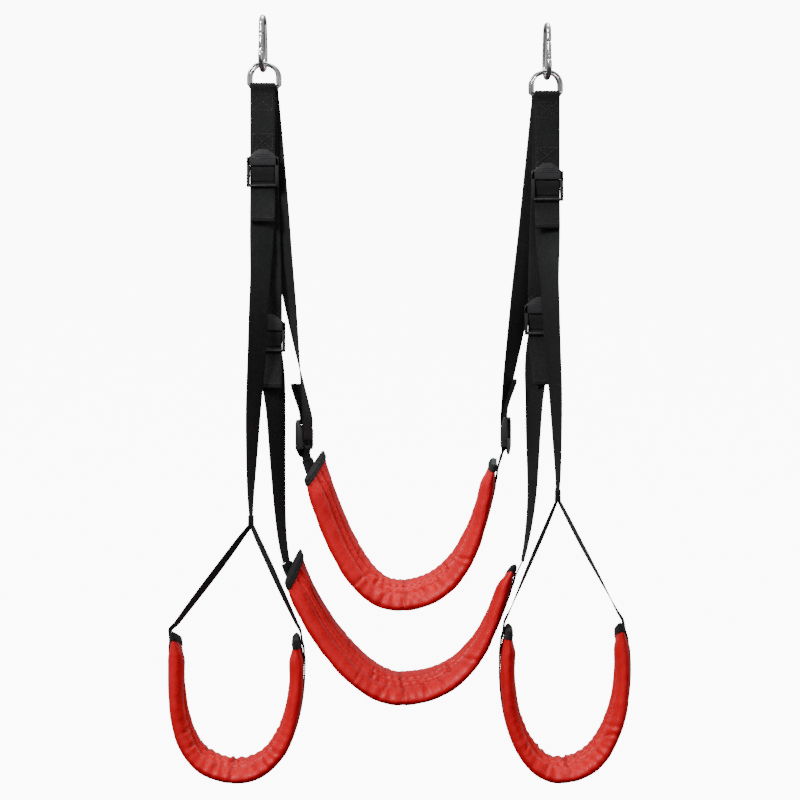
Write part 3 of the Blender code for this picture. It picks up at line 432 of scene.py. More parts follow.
def tape_profile(width, thick):
    """Flat webbing with round selvedges that are a little thicker than the middle."""
    across = np.linspace(-1, 1, 11)
    bead = 1.0 + 0.12 * np.abs(across) ** 8
    top = np.stack([across * (width / 2 - thick / 2), bead * thick / 2], 1)
    turn = np.linspace(90, -90, 5)[1:-1] * math.pi / 180
    edge = np.stack([width / 2 - thick / 2 + np.cos(turn) * thick / 2,
                     np.sin(turn) * thick / 2], 1)
    return np.concatenate([top, edge, top[::-1] * (1, -1), edge[::-1] * (-1, 1)])


def tape(name, path, wide, width=WEB, thick=WEB_THICK, loop=False, cup=0.0, hem=0.0, step=2.5):
    """Webbing along a path: the tape profile carried along it, bowed across by
    cup * (across / half width)^2 * a slow wave, and doubled over the last hem millimetres."""
    rows = flow(np.c_[path, np.broadcast_to(wide, np.shape(path))], step)
    if loop:
        rows = rows[:-1]
    line, across = rows[:, :3], unit(rows[:, 3:])
    run = runs(line)
    flat = tape_profile(width, thick)
    shape = np.repeat(flat[None], len(line), 0)
    if hem:
        double = smooth((run - (run[-1] - hem)) / 1.5)[:, None]
        shape[..., 1] = np.where(flat[:, 1] > 0, shape[..., 1] * (1 + double), shape[..., 1])
    wave = np.sin(run / 61.0 + len(name)) + 0.5 * np.sin(run / 23.0 + 2.0 * len(name))
    ease = smooth(run / 25.0) * smooth((run[-1] - run) / 25.0)
    shape[..., 1] += (cup * wave * ease)[:, None] * (flat[:, 0] / (width / 2)) ** 2
    return skin(name, sections(line, across, shape, loop), run, perimeter(flat), loop=loop)


def tube(name, path, radius, sides=20, loop=False, wide=(0, 1, 0)):
    """A round bar along a path: a circle carried along it. radius may change along the path."""
    turn = np.arange(sides) * 2 * math.pi / sides
    flat = np.stack([np.cos(turn), np.sin(turn)], 1)
    shape = flat * np.broadcast_to(radius, (len(path),))[:, None, None]
    around = perimeter(flat * np.mean(radius))
    return skin(name, sections(path, wide, shape, loop), runs(path), around, loop=loop)


def stitches(name, starts, ends, out, gauge=0.42, lift=0.25):
    """Threads: each is a six-sided capsule from its start to its end, thin at both ends and
    bowed outward by lift * sin(pi t), with t from 0 to 1 along it."""
    starts, ends, out = (np.asarray(a, float) for a in (starts, ends, out))
    t = np.array([0.0, 0.12, 0.5, 0.88, 1.0])
    fat = np.array([0.25, 0.85, 1.0, 0.85, 0.25]) * gauge
    out = unit(out)
    run = unit(ends - starts)
    side = unit(np.cross(run, out))
    line = (starts[:, None] * (1 - t[:, None]) + ends[:, None] * t[:, None]
            + out[:, None] * (lift * np.sin(np.pi * t) - 0.05)[:, None])
    turn = np.arange(6) * math.pi / 3
    ring = (np.cos(turn)[:, None] * side[:, None, None] + np.sin(turn)[:, None] * out[:, None, None])
    points = line[:, :, None] + ring * fat[:, None, None]
    count, rows, size = points.shape[:3]
    base = (np.arange(count) * rows * size)[:, None, None]
    i, j = np.arange(rows - 1)[None, :, None], np.arange(size)[None, None, :]
    nj = (j + 1) % size
    quads = np.stack(np.broadcast_arrays(base + i * size + j, base + i * size + nj,
                                         base + (i + 1) * size + nj, base + (i + 1) * size + j), -1)
    first = base[:, 0] + np.arange(size)[::-1]
    last = base[:, 0] + (rows - 1) * size + np.arange(size)
    quads = quads.reshape(-1, 4)
    flat = points.reshape(-1, 3)
    middle = np.repeat(points.mean((1, 2)), rows * size, 0)
    a, b, d = (flat[quads[:, k]] for k in (0, 1, 3))
    inside_out = np.einsum("ij,ij->i", a - middle[quads[:, 0]], np.cross(b - a, d - a)).sum() < 0
    faces = quads.tolist() + first.tolist() + last.tolist()
    if inside_out:
        faces = [face[::-1] for face in faces]
    mesh = bpy.data.meshes.new(name)
    mesh.from_pydata((flat * MM).tolist(), [], faces)
    mesh.uv_layers.new(name="UVMap")
    mesh.shade_smooth()
    obj = bpy.data.objects.new(name, mesh)
    bpy.context.scene.collection.objects.link(obj)
    return obj


def box_seam(origin, along, across, out, length, width, pitch=3.2, fill=0.7):
    """Starts, ends and outward directions of a sewn box with a cross in it, on a flat patch."""
    a, b = length / 2, width / 2
    lines = [((-a, -b), (a, -b)), ((a, -b), (a, b)), ((a, b), (-a, b)), ((-a, b), (-a, -b)),
             ((-a, -b), (a, b)), ((-a, b), (a, -b))]
    starts, ends = [], []
    for (s0, s1), (e0, e1) in lines:
        count = max(int(math.hypot(e0 - s0, e1 - s1) / pitch), 2)
        t = (np.arange(count) + 0.5 - fill / 2) / count
        s = np.stack([s0 + (e0 - s0) * t, s1 + (e1 - s1) * t], 1)
        t = t + fill / count
        e = np.stack([s0 + (e0 - s0) * t, s1 + (e1 - s1) * t], 1)
        starts.append(s)
        ends.append(e)
    starts, ends = np.concatenate(starts), np.concatenate(ends)
    along, across, out = unit(along), unit(across), unit(out)
    place3 = lambda q: origin + q[:, :1] * along + q[:, 1:] * across
    return place3(starts), place3(ends), np.repeat([out], len(starts), 0)


def both_faces(origin, along, across, out, half, length, width):
    """A sewn box on the two faces of a stack that is 2 * half thick."""
    one = box_seam(origin + unit(out) * half, along, across, out, length, width)
    two = box_seam(origin - unit(out) * half, along, across, -np.asarray(out), length, width)
    return [np.concatenate(pair) for pair in zip(one, two)]


def arc(centre, radius, start, end, steps):
    """Points on a circle between two angles in degrees."""
    turn = np.radians(np.linspace(start, end, steps))
    return np.stack([centre[0] + radius * np.cos(turn), centre[1] + radius * np.sin(turn)], 1)


def place(local, where):
    """Local (across, back, up) points moved into a frame (origin, across, back, up)."""
    origin, across, back, up = where
    local = np.asarray(local, float)
    return (np.asarray(origin) + local[..., :1] * across + local[..., 1:2] * back
            + local[..., 2:] * up)


# ------------------------------------------------------------------ hooks and rings
def side_sign(side):
    """Minus on the left, plus on the right."""
    return -1.0 if side == "left" else 1.0


def hook_frame(side):
    """Where a hook hangs, turned a little outward by HOOK_YAW."""
    sign = side_sign(side)
    yaw = math.radians(HOOK_YAW) * sign
    across = np.array([math.cos(yaw), math.sin(yaw), 0.0])
    back = np.array([-math.sin(yaw), math.cos(yaw), 0.0])
    return (np.array([sign * HOOK_SPAN / 2, 0.0, -sign * HOOK_DROP / 2]), across, back,
            np.array([0.0, 0.0, 1.0]))


def front_line(z):
    """How far out the straight side of the hook runs at a height: a line from eye to bow."""
    eye, bow = EYE_RADIUS + HOOK_WIRE, BOW_RADIUS + HOOK_WIRE
    share = (z + EYE_RADIUS) / (BOW_CENTRE + EYE_RADIUS)
    return -(eye + (bow - eye) * share)


def solid(name, build, bevel=0.0, steps=3):
    """A mesh filled in by a bmesh builder in millimetres, with softened edges."""
    shell = bmesh.new()
    build(shell)
    bmesh.ops.scale(shell, vec=(MM, MM, MM), verts=shell.verts)
    mesh = bpy.data.meshes.new(name)
    shell.to_mesh(mesh)
    shell.free()
    mesh.shade_smooth()
    obj = bpy.data.objects.new(name, mesh)
    bpy.context.scene.collection.objects.link(obj)
    if bevel:
        soft = obj.modifiers.new("soft_edges", "BEVEL")
        soft.width, soft.segments, soft.limit_method = bevel * MM, steps, "ANGLE"
        soft.angle_limit = math.radians(35)
    return obj


def carve(obj, cutter):
    """Cuts one mesh with another and leaves the cutter out."""
    change = obj.modifiers.new("cut", "BOOLEAN")
    change.operation, change.solver, change.object = "DIFFERENCE", "EXACT", cutter
    graph = bpy.context.evaluated_depsgraph_get()
    mesh = bpy.data.meshes.new_from_object(obj.evaluated_get(graph))
    obj.modifiers.remove(change)
    obj.data = mesh
    bpy.data.objects.remove(cutter, do_unlink=True)


def block(shell, low, high, turn=None):
    """A box between two corners, turned if a matrix is given."""
    low, high = Vector(low), Vector(high)
    bmesh.ops.create_cube(shell, size=1.0, matrix=(turn or Matrix.Identity(4))
                          @ Matrix.LocRotScale((low + high) / 2, None, high - low))


def bar(shell, start, end, radius, sides=24):
    """A round bar between two points."""
    start, end = Vector(start), Vector(end)
    turn = Vector((0, 0, 1)).rotation_difference(end - start)
    bmesh.ops.create_cone(shell, cap_ends=True, segments=sides, radius1=radius, radius2=radius,
                          depth=(end - start).length,
                          matrix=Matrix.LocRotScale((start + end) / 2, turn, None))


def snap_hook(side):
    """Round bar bent to a small eye and a wide bow, drawn thinner to a flat tongue at each end."""
    where = hook_frame(side)
    eye, bow = EYE_RADIUS + HOOK_WIRE, BOW_RADIUS + HOOK_WIRE
    flat = [(front_line(GATE_TOP + 1.0), GATE_TOP + 1.0)]
    flat += list(arc((0, -EYE_RADIUS), eye, 180, 0, 17))
    flat += list(arc((0, BOW_CENTRE), bow, 0, -180, 25))
    flat.append((front_line(GATE_FOOT - 1.0), GATE_FOOT - 1.0))
    flat = flow(np.array(flat), 1.3, 2)
    path = place(np.c_[np.zeros(len(flat)), flat], where)
    run = runs(path)
    ends = np.minimum(run, run[-1] - run)
    radius = HOOK_WIRE * (0.86 + 0.14 * smooth(ends / 2.5))
    ready(tube(side + "_snap_hook", path, radius, 24, wide=where[1]), CHROME, "hooks",
          [side + "_hook"])

    def tongues(shell):
        for end, reach in ((GATE_TOP + 2.5, GATE_TOP - 4.5), (GATE_FOOT - 2.5, GATE_FOOT + 5.0)):
            a, b = (Vector(place((0, front_line(z), z), where)) for z in (end, reach))
            wide = Vector(where[1])
            run = (b - a).normalized()
            turn = Matrix((wide, run.cross(wide), run)).transposed()
            bmesh.ops.create_cube(shell, size=1.0, matrix=Matrix.LocRotScale(
                (a + b) / 2, turn, Vector((2.4, 4.6, (b - a).length))))

    ready(solid(side + "_hook_tongues", tongues, 0.4), CHROME, "hooks")
    pivot = GATE_FOOT + 2.5
    pin = place([(-GATE_RADIUS - 0.25, front_line(pivot), pivot),
                 (GATE_RADIUS + 0.25, front_line(pivot), pivot)], where)
    ready(solid(side + "_hook_rivet", lambda s: bar(s, pin[0], pin[1], PIN_RADIUS), 0.25),
          SPRING_STEEL, "hooks", [side + "_gate_pin"])
    top, foot = GATE_TOP - 0.6, GATE_FOOT + 0.6
    ends = place([(0, front_line(foot), foot), (0, front_line(top), top)], where)
    gate = solid(side + "_hook_gate", lambda s: bar(s, ends[0], ends[1], GATE_RADIUS, 32))
    for low, high in ((foot - 1, pivot + 4.0), (GATE_TOP - 5.2, top + 1)):
        a, b = (Vector(place((0, front_line(z), z), where)) for z in (low, high))

        def slot_cut(shell):
            wide = Vector(where[1])
            run = (b - a).normalized()
            turn = Matrix((wide, run.cross(wide), run)).transposed()
            bmesh.ops.create_cube(shell, size=1.0, matrix=Matrix.LocRotScale(
                (a + b) / 2, turn, Vector((3.2, 12.0, (b - a).length))))

        carve(gate, solid("slot_cut", slot_cut))
    soft = gate.modifiers.new("soft_edges", "BEVEL")
    soft.width, soft.segments, soft.limit_method = 0.45 * MM, 3, "ANGLE"
    soft.angle_limit = math.radians(40)
    ready(gate, CHROME, side + "_gate_body", [side + "_gate"])


def bow_depth(back):
    """Height of the bow's inner curve at a depth: a circle, square root of r^2 - back^2."""
    reach = BOW_RADIUS - RING_WIRE - RING_GAP
    return BOW_CENTRE - math.sqrt(reach * reach - back * back)


def ring_bar(side, use):
    """Middle of the straight bar of one D-ring, each ring one pitch behind the last."""
    layer = RING_LAYER[use]
    origin = hook_frame(side)[0]
    y = layer * RING_PITCH
    return np.array([origin[0] - side_sign(side) * RING_STEP_IN * (layer + 1), y,
                     origin[2] + bow_depth(y) - RING_HEIGHT])


def d_ring(side, use):
    """Round wire bent to a half circle on a straight bar with small corners, welded in the bar."""
    at = ring_bar(side, use)
    half, corner = RING_WIDTH / 2, 3.0
    shoulder = RING_HEIGHT - half
    flat = list(arc((-half + corner, corner), corner, 270, 180, 7))
    flat += list(arc((0, shoulder), half, 180, 0, 41))
    flat += list(arc((half - corner, corner), corner, 0, -90, 7))
    flat += [(x, 0.0) for x in np.linspace(half - corner, -half + corner, 16)[1:-1]]
    flat = np.array(flat)
    path = at + np.c_[flat[:, 0], np.zeros(len(flat)), flat[:, 1]]
    weld = hump(flat[:, 0] - 6.0, 1.6) * (flat[:, 1] < 0.5)
    ready(tube("%s_%s_d_ring" % (side, use), path, RING_WIRE * (1 + 0.13 * weld), 18, loop=True),
          CHROME, "hanger", ["%s_%s_ring" % (side, use)])


# ------------------------------------------------------------------ buckles
def level_frame(origin, twist=0.0, flip=False):
    """An upright frame turned about the vertical, or upside down."""
    a = math.radians(twist)
    across = np.array([math.cos(a), math.sin(a), 0.0])
    back = np.array([-math.sin(a), math.cos(a), 0.0])
    up = np.array([0.0, 0.0, 1.0])
    if flip:
        across, up = -across, -up
    return np.asarray(origin, float), across, back, up


def ladder_lock(node, where, body):
    """Two side rails, three round bars and a lifting tab with grip ribs, all softly edged."""
    half, outer = WEB / 2 + 0.3, WEB / 2 + 0.7 + SIDE_WIDTH

    def rails(shell):
        for sign in (-1, 1):
            x = sorted((sign * half, sign * outer))
            rail = [(TAB_FRONT, BAR_RADIUS), (TAB_FRONT, FOOT_BAR + 4.0), (TAB_FRONT + 1.6, FOOT_BAR
                    - BAR_RADIUS), (-2.4, FOOT_BAR - BAR_RADIUS), (2.6, FOOT_BAR + 14.0),
                    (2.6, -3.0), (1.2, BAR_RADIUS)]
            low = [shell.verts.new((x[0], y, z)) for y, z in rail]
            high = [shell.verts.new((x[1], y, z)) for y, z in rail]
            shell.faces.new(low)
            shell.faces.new(high[::-1])
            for k in range(len(rail)):
                m = (k + 1) % len(rail)
                shell.faces.new((low[m], low[k], high[k], high[m]))
        for back, up in ((0, 0), (GRIP_BACK, GRIP_BAR), (FOOT_BACK, FOOT_BAR)):
            bar(shell, (-half - 1.5, back, up), (half + 1.5, back, up), BAR_RADIUS, 20)
        curve = [(outer, -10.6), (outer, -4.0), (outer - 0.9, -0.6), (outer - 3.4, 2.8),
                 (outer - 7.4, 6.6), (outer - 12.0, 10.4), (outer - 16.4, 13.0), (4.6, TAB_TOP)]
        edge = curve + [(-x, z) for x, z in curve[::-1]]
        front = [shell.verts.new((x, TAB_FRONT, z)) for x, z in edge]
        rear = [shell.verts.new((x, TAB_FRONT + 2.2, z)) for x, z in edge]
        shell.faces.new(front)
        shell.faces.new(rear[::-1])
        for k in range(len(edge)):
            m = (k + 1) % len(edge)
            shell.faces.new((front[m], front[k], rear[k], rear[m]))
        for z, reach in ((0.6, 16.0), (3.6, 13.5), (6.6, 10.5)):
            block(shell, (-reach, TAB_FRONT - 0.5, z - 0.55), (reach, TAB_FRONT + 0.6, z + 0.55))
        bmesh.ops.recalc_face_normals(shell, faces=shell.faces)
        turn = Matrix(np.stack(where[1:], 1).tolist()).to_4x4()
        bmesh.ops.transform(shell, matrix=Matrix.Translation(Vector(where[0])) @ turn,
                            verts=shell.verts)

    ready(solid(node.replace("_buckle", "_ladder_lock"), rails, 0.8), PLASTIC, body,
          [node])


def turn_path():
    """The strap's way round the grip bar, as (back, up) in the buckle's own frame."""
    radius = BAR_RADIUS + LOOP_GAP - 0.1 + WEB_THICK / 2
    front = [(TAIL_BACK, FOOT_BAR + 5.6), (TAIL_BACK - 0.9, GRIP_BAR - 13.0),
             (GRIP_BACK - radius, GRIP_BAR - 5.0)]
    over = arc((GRIP_BACK, GRIP_BAR), radius, 180, 0, 13)
    down = [(GRIP_BACK + radius, GRIP_BAR - 8.0), (GRIP_BACK + radius, FOOT_BAR - 4.0)]
    return np.array(front + list(over) + down)


def sewn_loop(node, top, foot, twist, body):
    """Two layers of webbing round a ring's bar and a buckle's bar, sewn together between them."""
    outer_top = RING_WIRE + LOOP_GAP + WEB_THICK / 2
    outer_foot = BAR_RADIUS + LOOP_GAP - 0.1 + WEB_THICK / 2
    half = WEB_THICK / 2 + 0.2
    length = top[2] - foot[2]
    flat = [(half, -length * 0.5), (half, -length * 0.35), (half, -9.0)]
    flat += list(arc((0, 0), outer_top, -12, 192, 17))
    flat += [(-half, -9.0), (-half, -length * 0.35), (-half, -length * 0.65), (-half, -length + 9.0)]
    flat += list(arc((0, -length), outer_foot, 168, 372, 17))
    flat += [(half, -length + 9.0), (half, -length * 0.65), (half, -length * 0.5)]
    flat = np.array(flat)
    share = smooth((-flat[:, 1] - 8) / max(length - 16, 1))
    path = np.outer(1 - share, top) + np.outer(share, foot)
    turn = np.radians(twist) * share
    back = np.stack([-np.sin(turn), np.cos(turn), np.zeros(len(turn))], 1)
    path[:, 2] = top[2] + flat[:, 1]
    path += back * flat[:, :1]
    wide = np.stack([np.cos(turn), np.sin(turn), np.zeros(len(turn))], 1)
    ready(tape(node + "_webbing", path, wide, loop=True, step=1.6), BLACK_WEB, body,
          [node])
    rows = []
    for share in (26.0 / length, 1 - 26.0 / length):
        middle = top * (1 - share) + foot * share
        rows.append(both_faces(middle, (0, 0, 1), (1, 0, 0), (0, -1, 0), WEB_THICK + 0.25, 24.0,
                               30.0))
    ready(stitches(node + "_stitching", *[np.concatenate(r) for r in zip(*rows)]), BLACK_THREAD,
          body)


def standing_part(node, where, end, end_wide, end_lead, ease, bodies, forward=1.0, veer=0.0):
    """Adjustable webbing: round the grip bar, then a cubic to its sewn end, eased in depth."""
    turn = turn_path()
    start = place(np.c_[np.zeros(len(turn)), turn], where)
    first, lead = start[-1], unit(where[1] * veer - where[3])
    end = np.asarray(end, float)
    length = np.linalg.norm(end - first)
    hold = [first, first + lead * length * 0.35, end - np.asarray(end_lead) * length * 0.35, end]
    t = np.linspace(0, 1, 30)[1:, None]
    run = ((1 - t) ** 3 * hold[0] + 3 * (1 - t) ** 2 * t * hold[1] + 3 * (1 - t) * t * t * hold[2]
           + t ** 3 * hold[3])
    run[:, 1] = first[1] + (end[1] - first[1]) * smooth(t[:, 0] / forward)
    turn_end = np.arctan2(end_wide[1], end_wide[0])
    turn_start = np.arctan2(where[1][1], where[1][0])
    early, by, power = ease
    share = early * smooth(t[:, 0] / by) + (1 - early) * t[:, 0] ** power
    angle = turn_start + (turn_end - turn_start) * share
    wide = np.stack([np.cos(angle), np.sin(angle), np.zeros(len(angle))], 1)
    wide = np.concatenate([np.repeat([where[1]], len(start), 0), wide])
    path = np.concatenate([start, run])
    ready(tape(node + "_webbing", path, wide, cup=0.5), BLACK_WEB, bodies[0], [node],
          (bodies[1], first + lead * 6.0, end - np.asarray(end_lead) * 12.0))


def free_end(node, where, length, bodies, swing=0.0, lean=0.0):
    """The loose end below a buckle: straight at first, then swung forward, with a sewn hem."""
    down = np.linspace(0, 1, 13)[:, None]
    z = TAIL_START - down * length
    back = np.full_like(z, TAIL_BACK) - swing * smooth((down - 0.15) / 0.85)
    side = lean * smooth((down - 0.1) / 0.9)
    path = place(np.c_[side, back, z], where)
    obj = tape(node + "_webbing", path, where[1], cup=0.6, hem=9.0)
    ready(obj, BLACK_WEB, bodies[0], [node],
          (bodies[1], path[0] - where[3] * 3.0, path[-1] + where[3] * 14.0))
    lead = unit(path[-1] - path[-2])
    out = np.cross(lead, where[1])
    count = 11
    x = np.linspace(-16, 16, count + 1)
    rows = []
    for face in (1.0, -1.0):
        base = path[-1] - lead * 6.2 + out * face * (WEB_THICK * 0.75 + (0.8 if face > 0 else 0.0))
        rows.append((base + np.outer(x[:-1] + 0.4, where[1]), base + np.outer(x[1:] - 0.4, where[1]),
                     np.repeat([out * face], count, 0)))
    ready(stitches(node + "_hem_stitching", *[np.concatenate(r) for r in zip(*rows)]),
          BLACK_THREAD, bodies[1])


# ------------------------------------------------------------------ padded bands
def u_path(u, steps):
    """Evenly spaced points on a U: one cubic from each end down to the foot."""
    foot = np.array(u["foot"])
    halves = []
    for k, side in enumerate(("left", "right")):
        start = np.array(u[side])
        sign = 1.0 if side == "left" else -1.0
        lean = math.radians(u["lean"][k])
        reach = np.linalg.norm(foot - start)
        arm = start + reach * u["arm"][k] * np.array([sign * math.sin(lean), -math.cos(lean)])
        base = foot - np.array([sign * reach * u["base"][k], 0.0])
        t = np.linspace(0, 1, 160)[:, None]
        halves.append((1 - t) ** 3 * start + 3 * (1 - t) ** 2 * t * arm
                      + 3 * (1 - t) * t * t * base + t ** 3 * foot)
    line = np.concatenate([halves[0], halves[1][::-1][1:]])
    run = runs(line)
    at = np.linspace(0, run[-1], steps)
    return np.stack([np.interp(at, run, line[:, k]) for k in (0, 1)], 1), run[-1]


def blend3(values, share):
    """Eases from the left value to the foot's, then to the right one."""
    left, foot, right = values
    first = left + (foot - left) * smooth(share * 2)
    second = foot + (right - foot) * smooth(share * 2 - 1)
    return np.where(share < 0.5, first, second)


def band_frames(band, steps, ends=(0.0, 0.0)):
    """Centres, across directions, outward normals and share along a band, run on past its ends."""
    u, turn, slant, depth = BANDS[band]
    flat, length = u_path(u, steps)
    if ends[0]:
        lead = unit(flat[0] - flat[2])
        extra = np.linspace(ends[0], 0, 7)[:-1, None]
        flat = np.vstack([flat[0] + lead * extra, flat])
    if ends[1]:
        lead = unit(flat[-1] - flat[-3])
        extra = np.linspace(0, ends[1], 7)[1:, None]
        flat = np.vstack([flat, flat[-1] + lead * extra])
    centre = np.c_[flat[:, 0], np.full(len(flat), depth), flat[:, 1]]
    along = tangents(centre)
    inward = np.stack([-along[:, 2], np.zeros(len(along)), along[:, 0]], 1)
    share = np.clip((runs(flat) - ends[0]) / length, 0, 1)
    angle = np.radians(blend3(turn, share))[:, None]
    wide = unit(np.array([0, 1.0, 0]) * np.cos(angle) + inward * np.sin(angle)
                + along * blend3(slant, share)[:, None])
    normal = unit(np.cross(along, wide))
    normal = np.where((normal * inward).sum(1, keepdims=True) > 0, -normal, normal)
    return centre, wide, normal, share, length


def pad_thick(share, length):
    """Thickness along a pad: thin at the ends, eased to full within 38 mm."""
    edge = np.minimum(share, 1 - share) * length
    return BAND_END_THICK + (BAND_THICK - BAND_END_THICK) * smooth((edge - 4) / 34)


def pad_outline(count):
    """Evenly spaced points round the pad's section, as (across, through) from -1 to 1:
    across = cos^0.6 and through = sin^0.8, each with its sign."""
    turn = np.linspace(0, 2 * math.pi, 4001)[:-1]
    c, s = np.cos(turn), np.sin(turn)
    fine = np.stack([np.sign(c) * np.abs(c) ** 0.6, np.sign(s) * np.abs(s) ** 0.8], 1)
    run = perimeter(fine * (BAND / 2, BAND_THICK / 2))
    at = np.linspace(0, run[-1], count + 1)[:-1]
    closed = np.vstack([fine, fine[:1]])
    return np.stack([np.interp(at, run, closed[:, k]) for k in (0, 1)], 1)


def rumple(run, around, scale, seed):
    """Slow unevenness: a sum of eight plane waves of random direction and phase."""
    rng = np.random.default_rng(seed)
    total = 0.0
    for _ in range(8):
        angle, phase = rng.uniform(0, math.pi), rng.uniform(0, 2 * math.pi)
        length = scale * rng.uniform(0.7, 1.8)
        total = total + np.sin((run * math.cos(angle) + around * math.sin(angle))
                               * 2 * math.pi / length + phase)
    return total / 4.0


def pad_relief(run, across, inner, length, seed):
    """How far the cover stands proud of the plain section, and how much painted shade darkens its
    colour: in the seam grooves, the creases and over the rear panel.
    Two seams pull grooves into the inner face, exp(-(d / 2.4)^2) deep, with the front roll and
    the middle channel crowned between them. Gathers beside the seams are sin(2 pi run / 7) waves
    that fade with the distance from the seam. Cross creases at the foot of the U are grooves
    at uneven places, each held to its own part of the width, with the cover pillowed between."""
    rng = np.random.default_rng(seed)
    half = BAND / 2
    edge = np.minimum(run, length - run)
    live = smooth((edge - 6) / 28)
    out = np.zeros_like(run)
    painted_shade = np.zeros_like(run)
    front, rear = hump(across - SEAM_FRONT, 3.2), hump(across - SEAM_REAR, 3.0)
    out -= inner * (5.6 * front + 5.0 * rear) * live
    out -= inner * 4.2 * smooth((across - SEAM_REAR) / (half - SEAM_REAR)) * live
    # Painted shade in the two seam grooves, and over the rear panel, which faces away from the key
    # light: the mark darkens the colour there.
    painted_shade += inner * 0.9 * (hump(across - SEAM_FRONT, 1.6) + hump(across - SEAM_REAR, 1.6))
    painted_shade += inner * 0.30 * smooth((across - SEAM_REAR) / 6.0) * live
    out += inner * 4.0 * hump(across - (SEAM_FRONT - half) / 2 + 1.0, 15.0) * live
    out += inner * 2.4 * hump(across - (SEAM_FRONT + SEAM_REAR) / 2, 6.0) * live
    out += inner * 0.8 * hump(across - (SEAM_REAR + half) / 2 - 4.0, 13.0) * live
    out -= (1 - inner) * 1.3 * (hump(across - 17.5, 2.5) + hump(across + 17.5, 2.5)) * live
    out += (1 - inner) * 0.9 * (hump(across - 33, 9.0) + hump(across + 33, 9.0)) * live
    near = hump(across - SEAM_FRONT, 6.5) + hump(across - SEAM_REAR, 6.5)
    wobble = 1.4 * np.sin(run / 19.0 + seed)
    out += inner * near * 0.45 * np.sin(2 * math.pi * (run + wobble * across / 9) / 8.3 + seed)
    bend = hump(run - length / 2, length * 0.17)
    gather = np.sin(2 * math.pi * run / 13.7 + 2.1 * np.sin(run / 31.0 + seed) + across / 17.0)
    out += inner * bend * 0.8 * gather
    for k in range(9):
        at = length * (0.5 + 0.052 * (k - 4)) + rng.uniform(-6, 6)
        lean = rng.uniform(-0.22, 0.22)
        middle = rng.choice([-30.0, -24.0, -3.0, 24.0, 30.0])
        reach = rng.uniform(11, 22)
        deep = rng.uniform(2.4, 4.4) * (1.0 - 0.10 * abs(k - 4))
        d = run - at - lean * (across - middle) - 1.5 * np.sin(across / 9.0 + k)
        place_in = hump(across - middle, reach)
        cut = hump(d, 1.7) * place_in
        out += inner * deep * (0.55 * hump(np.abs(d) - 6.5, 3.6) * place_in - cut)
        # Painted shade in each crease.
        painted_shade += inner * 0.65 * cut * deep / 2.0
    crease = length * 0.5 + rng.uniform(-3, 5)
    sharp = hump(run - crease - 0.05 * across, 2.6)
    out -= sharp * (inner * 2.2 + (1 - inner) * 0.7)
    # Painted shade in the sharp crease at the foot of the U.
    painted_shade += inner * 0.7 * sharp
    near_end = hump(edge - 15, 9.0)
    out += near_end * 0.55 * np.sin(across / 1.9 + 1.3 * np.sin(run / 7.0))
    out += 0.55 * rumple(run, across + 60 * inner, 46.0, seed + 11) * live
    out += 0.22 * rumple(run, across + 60 * inner, 17.0, seed + 23) * live
    return out, np.clip(painted_shade, 0, 1)


def padded_band(band, body):
    """Cover on a fine grid: section points carried along the U, moved out along the section's own
    normal by the relief; then its two bindings and seams."""
    seed = len(band) + 3 * len(BANDS[band][0])
    steps = 240
    centre, wide, normal, share, length = band_frames(band, steps)
    flat = pad_outline(120)
    thick = pad_thick(share, length)
    shape = np.repeat(flat[None], steps, 0) * np.stack([np.full(steps, BAND / 2), thick / 2],
                                                       1)[:, None]
    slope = np.roll(shape, -1, 1) - np.roll(shape, 1, 1)
    out = unit(np.stack([slope[..., 1], -slope[..., 0]], -1))
    run = np.broadcast_to((share * length)[:, None], shape.shape[:2])
    inner = smooth(0.5 - flat[:, 1] * 1.4)[None] * np.ones_like(run)
    relief, painted_shade = pad_relief(run, shape[..., 0], inner, length, seed)
    hold = smooth(np.minimum(run, length - run) / 10.0)
    shape = shape + out * (relief * hold)[..., None]
    grid = centre[:, None] + wide[:, None] * shape[..., :1] + normal[:, None] * shape[..., 1:]
    # The cover carries the painted shade mark, which darkens the red in its grooves, creases and over
    # its rear panel.
    cover = skin(band + "_pad", grid, share * length, perimeter(flat * (BAND / 2, BAND_THICK / 2)),
                 marks={"painted_shade": painted_shade})
    node = band + "_pad"
    ready(cover, RED_NYLON, body, [node + "_cover", node + "_foam"])
    seam_rows(band, body, grid, shape, share * length, length)
    for side, k, sign in (("left", 0, 1), ("right", -1, -1)):
        binding(band, side, k, sign, flat, body, (centre, wide, normal, share, length))


def seam_rows(band, body, grid, shape, run, length):
    """Stitches of red thread 3.4 mm apart in the two grooves of the inner face."""
    rows = []
    for seam in (SEAM_FRONT, SEAM_REAR):
        inner = shape[:, :, 1] < 0
        column = int(np.argmin(np.abs(shape[len(shape) // 2, :, 0] - seam)
                               + 1e3 * ~inner[len(shape) // 2]))
        line = grid[:, column]
        face = unit(np.cross(np.gradient(line, axis=0),
                             grid[:, (column + 1) % grid.shape[1]] - line))
        middle = grid.mean(1)
        face = np.where(((line - middle) * face).sum(1, keepdims=True) < 0, -face, face)
        at = np.arange(16.0, length - 16.0, 3.4)
        pick = lambda where, what: np.stack([np.interp(where, run, what[:, k]) for k in range(3)], 1)
        rows.append((pick(at, line), pick(at + 2.5, line), pick(at + 1.2, face)))
    ready(stitches(band + "_pad_seams", *[np.concatenate(r) for r in zip(*rows)], gauge=0.38,
                   lift=0.5), RED_THREAD, body)


